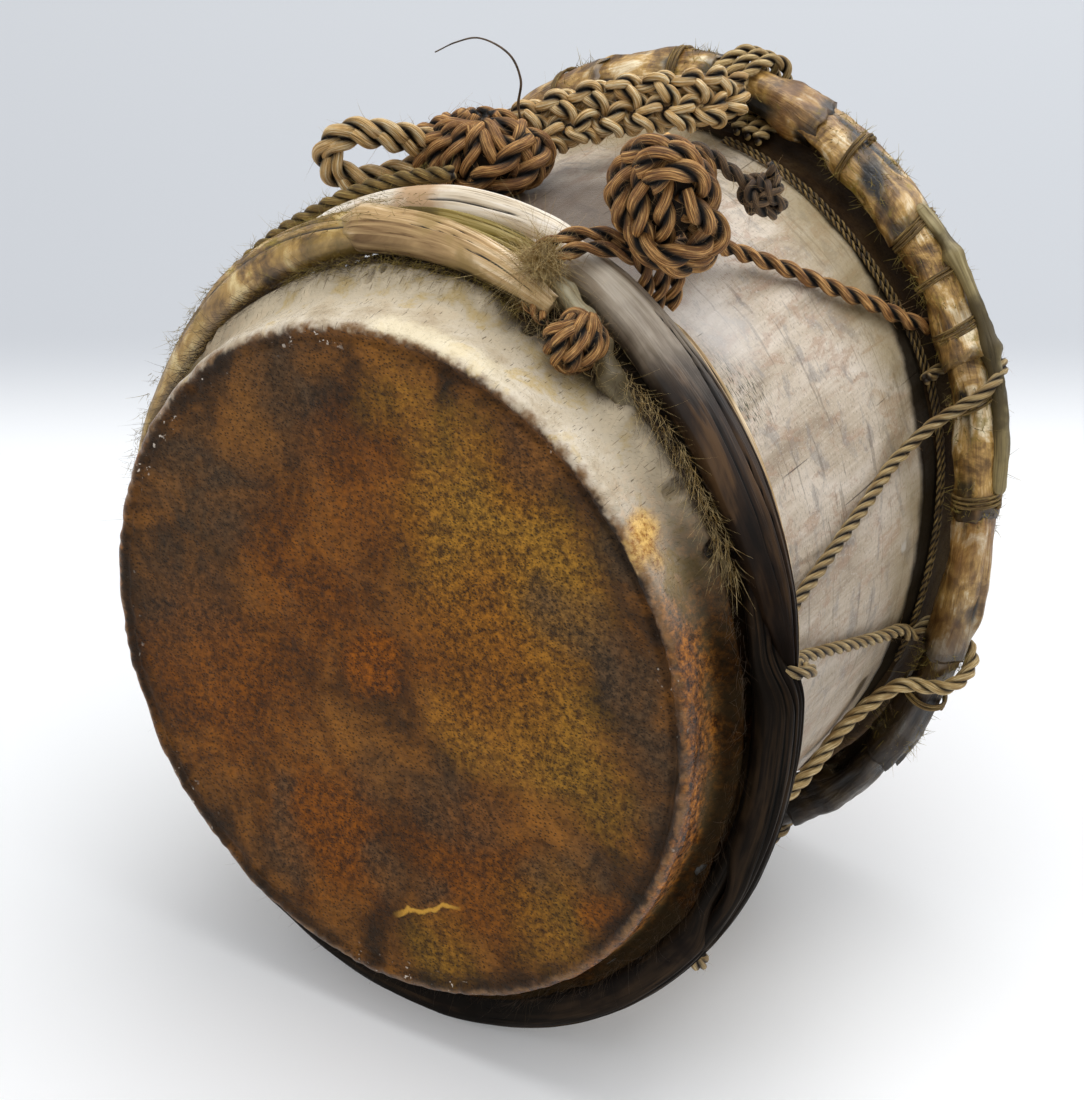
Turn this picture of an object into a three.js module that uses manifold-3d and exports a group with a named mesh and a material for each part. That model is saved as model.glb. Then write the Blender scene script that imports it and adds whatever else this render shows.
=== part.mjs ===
// A short double-headed log drum, lying on its side on its two counter hoops.
// Units are millimetres and +Z is up. The drum's own axis runs along Y, with the batter head at -Y.
//
// Nearly every piece is drawn in drum coordinates: an angle round the axis (0 is +X, 90 is the top),
// a radius from the axis, and a distance along the axis from the middle of the batter head.
// The drum is cut by hand, so its ends and hoops lean: drumPoint() turns drum coordinates into X, Y, Z.
import * as THREE from 'three';
import { mergeVertices } from 'three/addons/utils/BufferGeometryUtils.js';
import Module from 'manifold-3d';

const wasm = await Module();
wasm.setup();

// ---------------------------------------------------------------- driving sizes
const axisHeight = 140;       // the drum's axis above the surface it lies on
const centreX = -1.1;         // middle of the finished object in drum X and Y
const centreY = 122.8;

// How far each cross-section leans, as millimetres along Y per millimetre of X and of Z
const leans = [
  { along: 0, x: -0.060, z: 0.073 },     // batter head
  { along: 37, x: -0.088, z: 0.186 },    // front counter hoop
  { along: 196, x: -0.155, z: 0.256 },   // rear counter hoop
  { along: 221, x: -0.155, z: 0.256 },   // rear head
];

const lathePieces = 40;       // facets round the shell and the heads
const gridStep = 6;           // degrees between the cross-sections of everything bent round the drum

const frontHoop = { along: 37, halfWidth: 10.5, inside: 127.5, outside: 142 };
const rearHoop = { along: 196, radius: 134.5, angleGap: 2 };
const fleshHoop = { radius: 125.4, thickness: 3.5, frontAlong: 20.5, rearAlong: 215 };

const laceRadius = 2.2;       // half the thickness of the lacing rope
const laceLevel = 124.6;      // radius at which the rope slips under the hoops
const cordRadius = 0.7;       // half the thickness of the thin cords
const strapRadius = 8.5;      // half the width of the braided strap
const gap = 0.3;

// ---------------------------------------------------------------- materials
function material(colour, roughness, metalness = 0) {
  return new THREE.MeshStandardMaterial({ color: colour, roughness, metalness });
}

const finishes = {
  log: () => material(0x6e6258, 0.62),
  batterHide: () => material(0x5a3a22, 0.55),
  rearHide: () => material(0x6b4a2e, 0.60),
  paleStick: () => material(0x9a8a66, 0.80),
  darkVine: () => material(0x4a382c, 0.55),
  paleVine: () => material(0x9b8a70, 0.70),
  bark: () => material(0x7a6746, 0.85),
  moss: () => material(0x86783a, 0.95),
  rope: () => material(0x8a6a40, 0.90),
  darkRope: () => material(0x5d4230, 0.90),
};

// ---------------------------------------------------------------- drum coordinates
const radians = THREE.MathUtils.degToRad;

function leanAt(along) {
  const last = leans[leans.length - 1];
  const next = leans.find((plane) => plane.along > along) ?? last;
  const before = leans[Math.max(leans.indexOf(next) - 1, 0)];
  const span = next.along - before.along;
  const share = span > 0 ? THREE.MathUtils.clamp((along - before.along) / span, 0, 1) : 0;
  return {
    x: THREE.MathUtils.lerp(before.x, next.x, share),
    z: THREE.MathUtils.lerp(before.z, next.z, share),
  };
}

function drumPoint(angle, radius, along) {
  const x = radius * Math.cos(radians(angle));
  const z = radius * Math.sin(radians(angle));
  const lean = leanAt(along);
  return new THREE.Vector3(x, along + lean.x * x + lean.z * z, z);
}

// Moves every vertex of a geometry through a function of its position.
function reshape(geometry, move) {
  const place = geometry.attributes.position;
  for (let i = 0; i < place.count; i += 1) {
    const spot = move(place.getX(i), place.getY(i), place.getZ(i));
    place.setXYZ(i, spot.x, spot.y, spot.z);
  }
  geometry.computeVertexNormals();
  return geometry;
}

// ---------------------------------------------------------------- basic solids
// A profile of [radius, along] points turned right round the drum's axis.
function turned(profile) {
  const points = profile.map(([radius, along]) => new THREE.Vector2(radius, along));
  return reshape(new THREE.LatheGeometry(points, lathePieces), (x, y, z) => {
    const lean = leanAt(y);
    return new THREE.Vector3(x, y + lean.x * x + lean.z * z, z);
  });
}

// A section in the (radius, along) plane swept round the drum from one angle to another.
function swept(section, from, to, step = gridStep) {
  const steps = Math.max(1, Math.round((to - from) / step));
  const geometry = new THREE.ExtrudeGeometry(section, { depth: to - from, steps, bevelEnabled: false });
  return reshape(geometry, (radius, along, angle) => drumPoint(from + angle, radius, along));
}

function ovalSection(radius, along, halfRadial, halfAlong, sides = 8) {
  const points = [];
  for (let i = 0; i < sides; i += 1) {
    const turn = (i / sides) * 2 * Math.PI;
    points.push(new THREE.Vector2(radius + halfRadial * Math.cos(turn), along + halfAlong * Math.sin(turn)));
  }
  return new THREE.Shape(points);
}

function hollowOval(radius, along, outer, inner, sides) {
  const section = ovalSection(radius, along, outer[0], outer[1], sides);
  section.holes.push(ovalSection(radius, along, inner[0], inner[1], sides));
  return section;
}

// A round rope along a smooth curve through points.
function rope(points, radius, steps, sides = 6) {
  const path = new THREE.CatmullRomCurve3(points, false, 'centripetal');
  const section = ovalSection(0, 0, radius, radius, sides);
  return new THREE.ExtrudeGeometry(section, { steps, extrudePath: path, bevelEnabled: false });
}

function ball(centre, radii, detail = 1) {
  return new THREE.IcosahedronGeometry(1, detail).scale(...radii).translate(...centre);
}

function toSolid(geometry) {
  const bare = geometry.clone();
  bare.deleteAttribute('normal');
  bare.deleteAttribute('uv');
  const welded = mergeVertices(bare, 1e-4);
  return new wasm.Manifold(new wasm.Mesh({
    numProp: 3,
    vertProperties: new Float32Array(welded.attributes.position.array),
    triVerts: new Uint32Array(welded.index.array),
  }));
}

// Cuts away what would reach below the surface that the drum lies on, which leaves a worn flat.
function cutFlat(geometry) {
  const size = 400;
  const below = new THREE.BoxGeometry(size, size, size).translate(0, size / 4, -axisHeight - size / 2);
  const cut = toSolid(geometry).subtract(toSolid(below)).getMesh();
  const flat = new THREE.BufferGeometry();
  flat.setAttribute('position', new THREE.BufferAttribute(cut.vertProperties, 3));
  flat.setIndex(new THREE.BufferAttribute(cut.triVerts, 1));
  flat.computeVertexNormals();
  return flat;
}

const drum = new THREE.Group();
drum.position.set(-centreX, -centreY, axisHeight);

function add(name, geometry, finish) {
  const mesh = new THREE.Mesh(geometry, finishes[finish]());
  mesh.name = name;
  drum.add(mesh);
}

// ---------------------------------------------------------------- shell and heads
// The shell is a hollowed log: a tube with rounded bearing edges.
function shell() {
  return turned([
    [104, 3.5], [113, 3.5], [117.6, 7.5], [118.8, 46], [119.8, 62], [120, 130],
    [119.6, 186], [117.4, 212], [113, 217.2], [104, 217.2], [104, 3.5],
  ]);
}

// A hide drawn over the end of the shell: a flat membrane and a collar folded down the side.
function batterHead() {
  return turned([
    [0, 0], [112, 0], [116.6, 0.8], [120, 4.4], [120.8, 12], [121.5, 45],
    [119.7, 45], [118.9, 12], [118, 5.4], [114, 2.2], [0, 2.2],
  ]);
}

function rearHead() {
  return turned([
    [0, 218.8], [114.6, 218], [117.8, 213], [120.1, 187.4],
    [121.4, 187.4], [119.4, 213.5], [115.6, 219.6], [110, 221], [0, 221],
  ]);
}

// ---------------------------------------------------------------- flesh hoops
// Bent sticks whose ends nearly meet. The front one stops on both sides of the anchor knot.
function bentStick(along, from, to) {
  return swept(ovalSection(fleshHoop.radius, along, fleshHoop.thickness, fleshHoop.thickness, 6), from, to);
}

// ---------------------------------------------------------------- front counter hoop
// Split vine lengths, scarfed where they overlap: one keeps its outer half, the next its inner half.
const scarf = 12;             // degrees that two lengths overlap

const lathSection = new THREE.Shape([
  [0, -0.75], [0.3, -1], [0.75, -0.95], [1, -0.6], [1, 0.6], [0.75, 0.95], [0.3, 1], [0, 0.75],
].map(([across, along]) => new THREE.Vector2(across, along)));

// from is the end that keeps its inner half, and to is the end that keeps its outer half.
function vineLength(from, to, along = frontHoop.along, halfWidth = frontHoop.halfWidth) {
  const sweep = to - from;
  const middle = (frontHoop.inside + frontHoop.outside) / 2;
  const steps = Math.round(sweep / gridStep);
  const straight = new THREE.ExtrudeGeometry(lathSection, { depth: sweep, steps, bevelEnabled: false });
  return reshape(straight, (across, side, angle) => {
    const fromEnd = angle - scarf;
    const toEnd = sweep - angle - scarf;
    const rise = THREE.MathUtils.clamp(1 - fromEnd / gridStep, 0, 1);
    const fall = THREE.MathUtils.clamp(1 - toEnd / gridStep, 0, 1);
    const inside = THREE.MathUtils.lerp(frontHoop.inside, middle + gap, fall);
    const outside = THREE.MathUtils.lerp(frontHoop.outside, middle - gap, rise);
    const radius = THREE.MathUtils.lerp(inside, outside, across);
    const trim = THREE.MathUtils.clamp(angle / sweep, 0.01, 0.99);
    return drumPoint(from + trim * sweep, radius, along + side * halfWidth);
  });
}

function frontCounterHoop() {
  add('front_hoop_stalk_right', vineLength(12, 84), 'darkVine');
  add('front_hoop_stalk_lower', vineLength(-36, 24), 'darkVine');
  add('front_hoop_stalk_bottom', cutFlat(vineLength(-132, -24)), 'darkVine');
  add('front_hoop_stalk_left', vineLength(-192, -120), 'darkVine');
  add('front_hoop_stalk_upper_left', vineLength(-246, -180), 'bark');
  const laths = 3;
  const lathPitch = (2 * frontHoop.halfWidth) / laths;
  for (let i = 0; i < laths; i += 1) {
    const along = frontHoop.along - frontHoop.halfWidth + lathPitch * (i + 0.5);
    add(`front_hoop_lath_${i + 1}`, vineLength(72, 126, along, lathPitch / 2 - gap / 2), 'paleVine');
  }
  add('front_hoop_edge_strip', swept(ovalSection(134.5, 51, 3.4, 2.6, 6), 6, 54), 'darkVine');
  add('front_hoop_fibre_rope', fibreRope(), 'moss');
}

// Mossy fibre rope lying along the outside of the hoop, from the top over to the left.
function fibreRope() {
  const points = [];
  for (let angle = 100; angle <= 160; angle += 10) {
    points.push(drumPoint(angle, 145.5, THREE.MathUtils.mapLinear(angle, 100, 160, 51, 40)));
  }
  return rope(points, 2.9, 12);
}

// ---------------------------------------------------------------- rear counter hoop
const sleeveOuter = [7.4, 8.4];
const sleeveInner = [5.0, 5.9];
const coreHalf = [4.2, 5.1];
const bandInner = [8.1, 9.2];
const bandOuter = [9.2, 10.4];

const laceTurnsRear = [31, -10, -52, -94, -136, -178, -220];
const laceTurnsFront = [14, -32, -74, -116, -158, -200];
const hitchAngle = 85;
const bottomAngle = -90;

function angleBetween(a, b) {
  return Math.abs(THREE.MathUtils.euclideanModulo(a - b + 180, 360) - 180);
}

function rearCounterHoop() {
  const { radius, along, angleGap } = rearHoop;
  const core = [];
  for (let i = 0; i <= 8; i += 1) {
    const turn = (i / 8) * 2 * Math.PI;
    core.push([radius + coreHalf[0] * Math.cos(turn), along - coreHalf[1] * Math.sin(turn)]);
  }
  add('rear_hoop_cane', turned(core.reverse()), 'paleStick');
  const sleeves = 6;
  const sweep = 360 / sleeves;
  for (let i = 0; i < sleeves; i += 1) {
    const from = bottomAngle - sweep / 2 + i * sweep;
    const section = hollowOval(radius, along, sleeveOuter, sleeveInner, 8);
    const sleeve = swept(section, from + angleGap / 2, from + sweep - angleGap / 2, 10);
    add(`rear_hoop_wrap_${i + 1}`, i === 0 ? cutFlat(sleeve) : sleeve, 'bark');
  }
  rearBindings();
  const cane = swept(ovalSection(147.4, along + 1, 2.9, 3.2, 6), 12, 48);
  add('rear_hoop_outer_cane', cane, 'paleStick');
}

// Narrow cord bands round the wrapped hoop, left out where a rope passes or the drum rests.
function rearBindings() {
  const { radius, along } = rearHoop;
  const width = 1.7;
  const pitch = 20;
  const section = hollowOval(radius, along, bandOuter, bandInner, 8);
  let count = 0;
  for (let angle = 5; angle < 360; angle += pitch) {
    const nearTurn = laceTurnsRear.some((turn) => angleBetween(angle, turn) < 5);
    const nearHitch = angleBetween(angle, hitchAngle) < 7;
    const nearFloor = angleBetween(angle, bottomAngle) < 14;
    if (!nearTurn && !nearHitch && !nearFloor) {
      count += 1;
      add(`rear_hoop_binding_${count}`, swept(section, angle - width / 2, angle + width / 2, width), 'rope');
    }
  }
}

// ---------------------------------------------------------------- lacing and ties
// One rope zigzags between the hoops and turns back out of sight beneath each of them.
function lacing() {
  const halfTurn = 2.2;
  const points = [
    drumPoint(65.5, 139, 67), drumPoint(62, 132, 82), drumPoint(56, 124.4, 112), drumPoint(45, 123.4, 152),
  ];
  const turnAt = (angle, edge, deep, apex) => {
    points.push(drumPoint(angle + halfTurn, laceLevel, edge));
    points.push(drumPoint(angle + halfTurn * 0.75, laceLevel, deep));
    points.push(drumPoint(angle, laceLevel, apex));
    points.push(drumPoint(angle - halfTurn * 0.75, laceLevel, deep));
    points.push(drumPoint(angle - halfTurn, laceLevel, edge));
  };
  const legAt = (from, to, fromAlong, toAlong) => {
    for (const share of [0.3, 0.7]) {
      const angle = THREE.MathUtils.lerp(from, to, share);
      points.push(drumPoint(angle, 123.2, THREE.MathUtils.lerp(fromAlong, toAlong, share)));
    }
  };
  const frontEdge = 50;
  const rearEdge = 184;
  laceTurnsRear.forEach((rear, i) => {
    turnAt(rear, rearEdge, 191, 193.4);
    const front = laceTurnsFront[i] ?? -238;
    legAt(rear - halfTurn, front + halfTurn, rearEdge, frontEdge);
    if (i < laceTurnsFront.length) {
      turnAt(front, frontEdge, 41.5, 39);
      legAt(front - halfTurn, laceTurnsRear[i + 1] + halfTurn, frontEdge, rearEdge);
    } else {
      points.push(drumPoint(front, laceLevel, frontEdge));
      points.push(drumPoint(front - 1, laceLevel, 40));
    }
  });
  return rope(points, laceRadius, 140);
}

// Rope over the outside of a hoop, from its front edge to its rear edge.
function tieOver(angle, profile, slant = 1.5) {
  const points = profile.map(([radius, along], i) => {
    const share = i / (profile.length - 1);
    return drumPoint(angle + slant * (share - 0.5), radius, along);
  });
  return rope(points, laceRadius, 9);
}

const overFront = [
  [131.8, 23.4], [138, 23.2], [143.6, 26], [145.2, 32], [145.2, 42], [143.6, 48], [138, 50.8], [131.6, 50.6],
];
const overFrontStrip = [
  [131.8, 23.4], [138, 23.2], [143.6, 26], [145.2, 32], [145.2, 42], [144.6, 48], [141.4, 54], [136, 57.2], [131.2, 57],
];
const overRear = [
  [130, 184.2], [136, 183.8], [142.6, 187], [145, 192.5], [145, 199.5], [142.6, 205], [136, 208.2], [131, 208],
];
const overRearCane = [
  [130, 184.2], [136, 183.8], [143, 186.4], [151, 190], [153.2, 197], [151, 204], [143, 207], [136, 208.4],
];

function ties() {
  add('front_hoop_tie_1', tieOver(18, overFrontStrip), 'rope');
  [-30, -126, -174].forEach((angle, i) => add(`front_hoop_tie_${i + 2}`, tieOver(angle, overFront), 'rope'));
  add('rear_hoop_tie_1', tieOver(31, overRearCane), 'rope');
  const restingTurn = -94;
  laceTurnsRear.slice(1).filter((turn) => turn !== restingTurn).forEach((turn, i) => {
    add(`rear_hoop_tie_${i + 2}`, tieOver(turn, overRear), 'rope');
  });
  add('strap_hitch', tieOver(hitchAngle, overRear, 3), 'rope');
}

// Two thin cords drawn tight on the shell in front of the rear hoop.
function rearEdgeCords() {
  [179.5, 183].forEach((along, i) => {
    const section = ovalSection(120.9, along, cordRadius, cordRadius, 5);
    add(`rear_edge_cord_${i + 1}`, swept(section, -18, 84), 'rope');
  });
}

// ---------------------------------------------------------------- knots and strap
const toggleCentre = [58, 78, 157];
const pigtailPivot = new THREE.Vector3(66, 88.7, 169.6);
const pigtailKnotCentre = new THREE.Vector3(86, 96, 156);
const strapPoints = [[12, 203, 140], [7.4, 193, 141], [-6, 181.3, 141], [-21, 171.4, 138.4], [-38.5, 157, 132.6]];
const strapKnotCentre = [-53, 142.3, 126.3];
const strapLoopPoints = [
  [-62, 125, 134.5], [-71, 112, 142], [-83, 102, 143.5], [-89.5, 98, 134.5],
  [-86, 99, 124.5], [-77, 105, 119.5], [-65, 123.5, 118.5],
];

function toPoints(list) {
  return list.map((spot) => new THREE.Vector3(...spot));
}

// The rope from the hole in the collar, over the hoop, to the foot of the toggle knot.
function toggleLashing() {
  const radius = 2.5;
  return rope([
    drumPoint(76.5, 124.6, 19.5), drumPoint(76.3, 131, 21), drumPoint(75.5, 139, 23.2), drumPoint(74, 144.6, 28),
    drumPoint(72, 145.2, 38), drumPoint(69.5, 145.2, 47), drumPoint(66.8, 143.4, 59),
  ], radius, 14);
}

function pigtail() {
  const along = pigtailKnotCentre.clone().sub(pigtailPivot).normalize();
  const at = (distance) => pigtailPivot.clone().addScaledVector(along, distance);
  return rope([at(1), at(8), at(16.2)], 2.6, 4, 8);
}

// ---------------------------------------------------------------- assembly
add('shell', shell(), 'log');
add('batter_head', batterHead(), 'batterHide');
add('rear_head', rearHead(), 'rearHide');
add('front_flesh_hoop', bentStick(fleshHoop.frontAlong, -282, 60), 'paleStick');
add('rear_flesh_hoop', bentStick(fleshHoop.rearAlong, -87, 267), 'paleStick');
frontCounterHoop();
rearCounterHoop();
add('lacing_rope', lacing(), 'rope');
ties();
rearEdgeCords();
add('anchor_knot', ball(drumPoint(68, 131.4, 20.5).toArray(), [8.6, 7.6, 8.2]), 'darkRope');
add('toggle_lashing', toggleLashing(), 'darkRope');
add('toggle_knot', ball(toggleCentre, [16.5, 14.5, 20]), 'darkRope');
add('pigtail_cord', pigtail(), 'darkRope');
add('pigtail_knot', ball(pigtailKnotCentre.toArray(), [8, 8, 9]), 'darkRope');
add('strap_braid', rope(toPoints(strapPoints), strapRadius, 8, 8), 'rope');
add('strap_knot', ball(strapKnotCentre, [15, 14, 17]), 'darkRope');
add('strap_loop', rope(toPoints(strapLoopPoints), 3.4, 18), 'darkRope');

export default drum;
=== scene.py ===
"""The looks of a short double-headed log drum, laced with rope and lying on its side.

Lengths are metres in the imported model's frame. Most pieces are drawn in drum coordinates: an angle round the
drum's axis (0 is +X, 90 is the top), a radius from it, and a distance along it from the batter head.
"""
import math

import bpy
import numpy as np
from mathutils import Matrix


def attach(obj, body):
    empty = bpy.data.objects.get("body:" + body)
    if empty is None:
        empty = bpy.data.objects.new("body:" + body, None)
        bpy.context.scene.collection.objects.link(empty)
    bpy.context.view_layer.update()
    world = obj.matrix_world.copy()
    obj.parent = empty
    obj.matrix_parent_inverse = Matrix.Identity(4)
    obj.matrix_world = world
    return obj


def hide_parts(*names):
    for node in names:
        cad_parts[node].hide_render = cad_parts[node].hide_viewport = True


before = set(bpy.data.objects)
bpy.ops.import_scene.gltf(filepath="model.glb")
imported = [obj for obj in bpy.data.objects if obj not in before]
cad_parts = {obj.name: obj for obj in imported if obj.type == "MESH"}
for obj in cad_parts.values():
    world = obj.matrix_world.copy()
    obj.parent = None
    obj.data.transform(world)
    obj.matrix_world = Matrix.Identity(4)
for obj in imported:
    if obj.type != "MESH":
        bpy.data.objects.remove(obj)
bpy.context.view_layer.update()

# ------------------------------------------------------------------ driving sizes
DRUM_ORIGIN = np.array((0.0011, -0.1228, 0.14))     # middle of the batter head
LEAN_ALONG = (0, 0.037, 0.196, 0.221)              # where the drum's leaning cross-sections are given
LEAN_X = (-0.06, -0.088, -0.155, -0.155)
LEAN_Z = (0.073, 0.186, 0.256, 0.256)

FRONT_ALONG, FRONT_HALF = 0.037, 0.0105              # front counter hoop: its place and half its width
FRONT_INSIDE, FRONT_OUTSIDE = 0.1275, 0.142
REAR_ALONG, REAR_RADIUS = 0.196, 0.1345              # rear counter hoop
LACE_RADIUS = 0.0023
LACE_LEVEL = 0.1243                                  # the lacing's distance from the axis along the shell
HITCH_RADIUS = 0.0024
LEG_ROPE = 0.0029                                    # the toggle's leg and the mossy rope
FLESH_STICK = 0.0034
ROPE_STEP = 0.0009                                   # between the points along a rope

CAMERA_PLACE = (0.5575, -0.9171, 0.7123)
CAMERA_TURN = (61.44, 0, 31.93)
CAMERA_LENS = 109.8

TO_CAMERA = np.array((0.528, -0.849, 0))           # knots are drawn as seen from the camera's side
TO_RIGHT = np.array((0.849, 0.528, 0))
UPWARDS = np.array((0, 0, 1))


# ------------------------------------------------------------------ camera, floor and light
def make_camera():
    data = bpy.data.cameras.new("camera")
    data.lens = CAMERA_LENS
    camera = bpy.data.objects.new("camera", data)
    camera.location = CAMERA_PLACE
    camera.rotation_euler = [math.radians(angle) for angle in CAMERA_TURN]
    bpy.context.scene.collection.objects.link(camera)
    bpy.context.scene.camera = camera


def make_light(name, place, aim, size, watts, colour=(1, 1, 1)):
    data = bpy.data.lights.new(name, "AREA")
    data.shape = "RECTANGLE"
    data.size, data.size_y = size
    data.energy = watts
    data.color = colour
    light = bpy.data.objects.new(name, data)
    light.location = place
    direction = np.array(aim, float) - np.array(place, float)
    light.rotation_euler = direction_to_turn(direction)
    bpy.context.scene.collection.objects.link(light)


def direction_to_turn(direction):
    """Euler angles that point an object's -Z along a direction."""
    flat = math.hypot(direction[0], direction[1])
    return (math.atan2(flat, -direction[2]), 0, math.atan2(-direction[0], direction[1]))


def make_world():
    world = bpy.data.worlds.new("studio")
    world.use_nodes = True
    sky = world.node_tree.nodes["Background"]
    sky.inputs["Color"].default_value = (0.96, 0.975, 1, 1)
    sky.inputs["Strength"].default_value = 0.6
    bpy.context.scene.world = world
    bpy.context.scene.view_settings.view_transform = "Standard"


def make_floor():
    """A plain pale sweep that glows a little as painted light: white just behind the drum, cooler and greyer
    far from it as painted shade.
    """
    mesh = bpy.data.meshes.new("floor")
    mesh.from_pydata([(-6, -6, 0), (6, -6, 0), (6, 9, 0), (-6, 9, 0)], [], [(0, 1, 2, 3)])
    floor = bpy.data.objects.new("floor", mesh)
    bpy.context.scene.collection.objects.link(floor)
    f = Finish("floor", roughness=0.55, specular=0.25)
    # the floor glows a little: painted light that lifts it, and the drum's shadow on it, without a lamp
    f.shader.inputs["Emission Color"].default_value = (1, 1, 1, 1)
    f.shader.inputs["Emission Strength"].default_value = 0.14
    away = f.add("ShaderNodeVectorMath", operation="DOT_PRODUCT")
    f.put(f.object, away.inputs[0])
    away.inputs[1].default_value = (-0.529, 0.849, 0)
    # painted shade: grey beyond the drum, a little lighter again far off
    back = f.span(away.outputs["Value"], 0.3, 0.47)
    far = f.span(away.outputs["Value"], 0.42, 1.5)
    near = f.span(away.outputs["Value"], -0.5, 0.2)
    colour = f.mix(near, "ffffff", "e2e4e6")
    colour = f.mix(back, colour, "aaaeb4")
    mesh.materials.append(f.done(f.mix(far, colour, "c2c6cb")))


def make_stage():
    make_camera()
    make_world()
    make_light("overhead", (0, 0.25, 1.5), (0, 0, 0.1), (1.5, 1.2), 15)
    make_light("window", (0.45, 1.7, 1.3), (0, 0, 0.1), (1.8, 0.9), 11)
    make_light("side_fill", (-1.1, -1.3, 0.9), (0, 0, 0.1), (1.2, 1), 3, (1, 0.98, 0.95))


# ------------------------------------------------------------------ drum coordinates and noise
def drum_point(angle, radius, along):
    """Places in the model's frame. Each value may be a number or an array."""
    angle, radius, along = np.broadcast_arrays(angle, radius, along)
    x = radius * np.cos(np.radians(angle))
    z = radius * np.sin(np.radians(angle))
    lean_x = np.interp(along, LEAN_ALONG, LEAN_X)
    lean_z = np.interp(along, LEAN_ALONG, LEAN_Z)
    return np.stack((x, along + lean_x * x + lean_z * z, z), axis=-1) + DRUM_ORIGIN


def joined(*values):
    """Several values or arrays side by side, as the coordinates of places."""
    return np.stack(np.broadcast_arrays(*values), axis=-1)


def limited(value):
    """A value held between 0 and 1."""
    return np.clip(value, 0, 1)


def unit(vectors):
    """The vectors scaled to a length of one."""
    lengths = np.linalg.norm(vectors, axis=-1, keepdims=True)
    return vectors / np.maximum(lengths, 1e-12)


def lumps(places, size, seed=0):
    """Smooth noise from -1 to 1 at each place, in lumps of about this size, or of one size for each axis."""
    places = np.asarray(places, float)
    flat = places.reshape(-1, places.shape[-1]) / np.asarray(size, float)
    if flat.shape[1] == 2:
        flat = np.column_stack((flat, np.zeros(len(flat))))
    cell = np.floor(flat).astype(np.int64)
    part = flat - cell
    part = part * part * (3 - 2 * part)
    total = np.zeros(len(flat))
    for corner in np.ndindex(2, 2, 2):
        mixed = (cell + corner) @ np.array((73856093, 19349663, 83492791)) + seed * 668265263
        mixed = (mixed ^ (mixed >> 13)) * 1274126177 & 0x7FFFFFFF
        mixed = (mixed ^ (mixed >> 15)) * 3266489917 & 0x7FFFFFFF
        share = np.prod(np.where(corner, part, 1 - part), axis=1)
        total += share * (mixed / 0x3FFFFFFF - 1)
    return total.reshape(places.shape[:-1])


def waver(value, size, seed):
    """Smooth noise along one changing value."""
    return lumps(np.stack((value, value), axis=-1), size, seed)


def bell(value, centre, width):
    """1 at the centre, falling smoothly to 0 a few widths away."""
    return np.exp(-((value - centre) / width) ** 2)


# ------------------------------------------------------------------ paths
def smooth_path(points, spacing):
    """Evenly spaced points on a centripetal Catmull-Rom curve through the given ones."""
    points = np.asarray(points, float)
    knots = np.vstack((2 * points[0] - points[1], points, 2 * points[-1] - points[-2]))
    parts = []
    share = np.linspace(0, 1, 24, endpoint=False)[:, None]
    for p0, p1, p2, p3 in zip(knots, knots[1:], knots[2:], knots[3:]):
        t1 = np.linalg.norm(p1 - p0) ** 0.5
        t2 = t1 + np.linalg.norm(p2 - p1) ** 0.5
        t3 = t2 + np.linalg.norm(p3 - p2) ** 0.5
        t = t1 + share * (t2 - t1)
        a1 = (t1 - t) / t1 * p0 + t / t1 * p1
        a2 = (t2 - t) / (t2 - t1) * p1 + (t - t1) / (t2 - t1) * p2
        a3 = (t3 - t) / (t3 - t2) * p2 + (t - t2) / (t3 - t2) * p3
        b1 = (t2 - t) / t2 * a1 + t / t2 * a2
        b2 = (t3 - t) / (t3 - t1) * a2 + (t - t1) / (t3 - t1) * a3
        parts.append((t2 - t) / (t2 - t1) * b1 + (t - t1) / (t2 - t1) * b2)
    return evenly(np.vstack((*parts, points[-1:])), spacing)


def distances(path):
    """How far each point is along a path."""
    steps = np.linalg.norm(np.diff(path, axis=0), axis=1)
    return np.concatenate(((0,), np.cumsum(steps)))


def evenly(path, spacing):
    distance = distances(path)
    count = max(2, round(distance[-1] / spacing) + 1)
    wanted = np.linspace(0, distance[-1], count)
    return np.column_stack([np.interp(wanted, distance, axis) for axis in path.T])


def frames(path):
    """Unit side and up directions along a path, carried forwards without twisting."""
    ahead = unit(np.gradient(path, axis=0))
    helper = (0, 0, 1) if abs(ahead[0][2]) < 0.8 else (1, 0, 0)
    side = np.cross(helper, ahead[0])
    sides = []
    for direction in ahead:
        side = side - direction * side.dot(direction)
        side = side / np.linalg.norm(side)
        sides.append(side)
    sides = np.array(sides)
    return sides, np.cross(ahead, sides)


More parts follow.
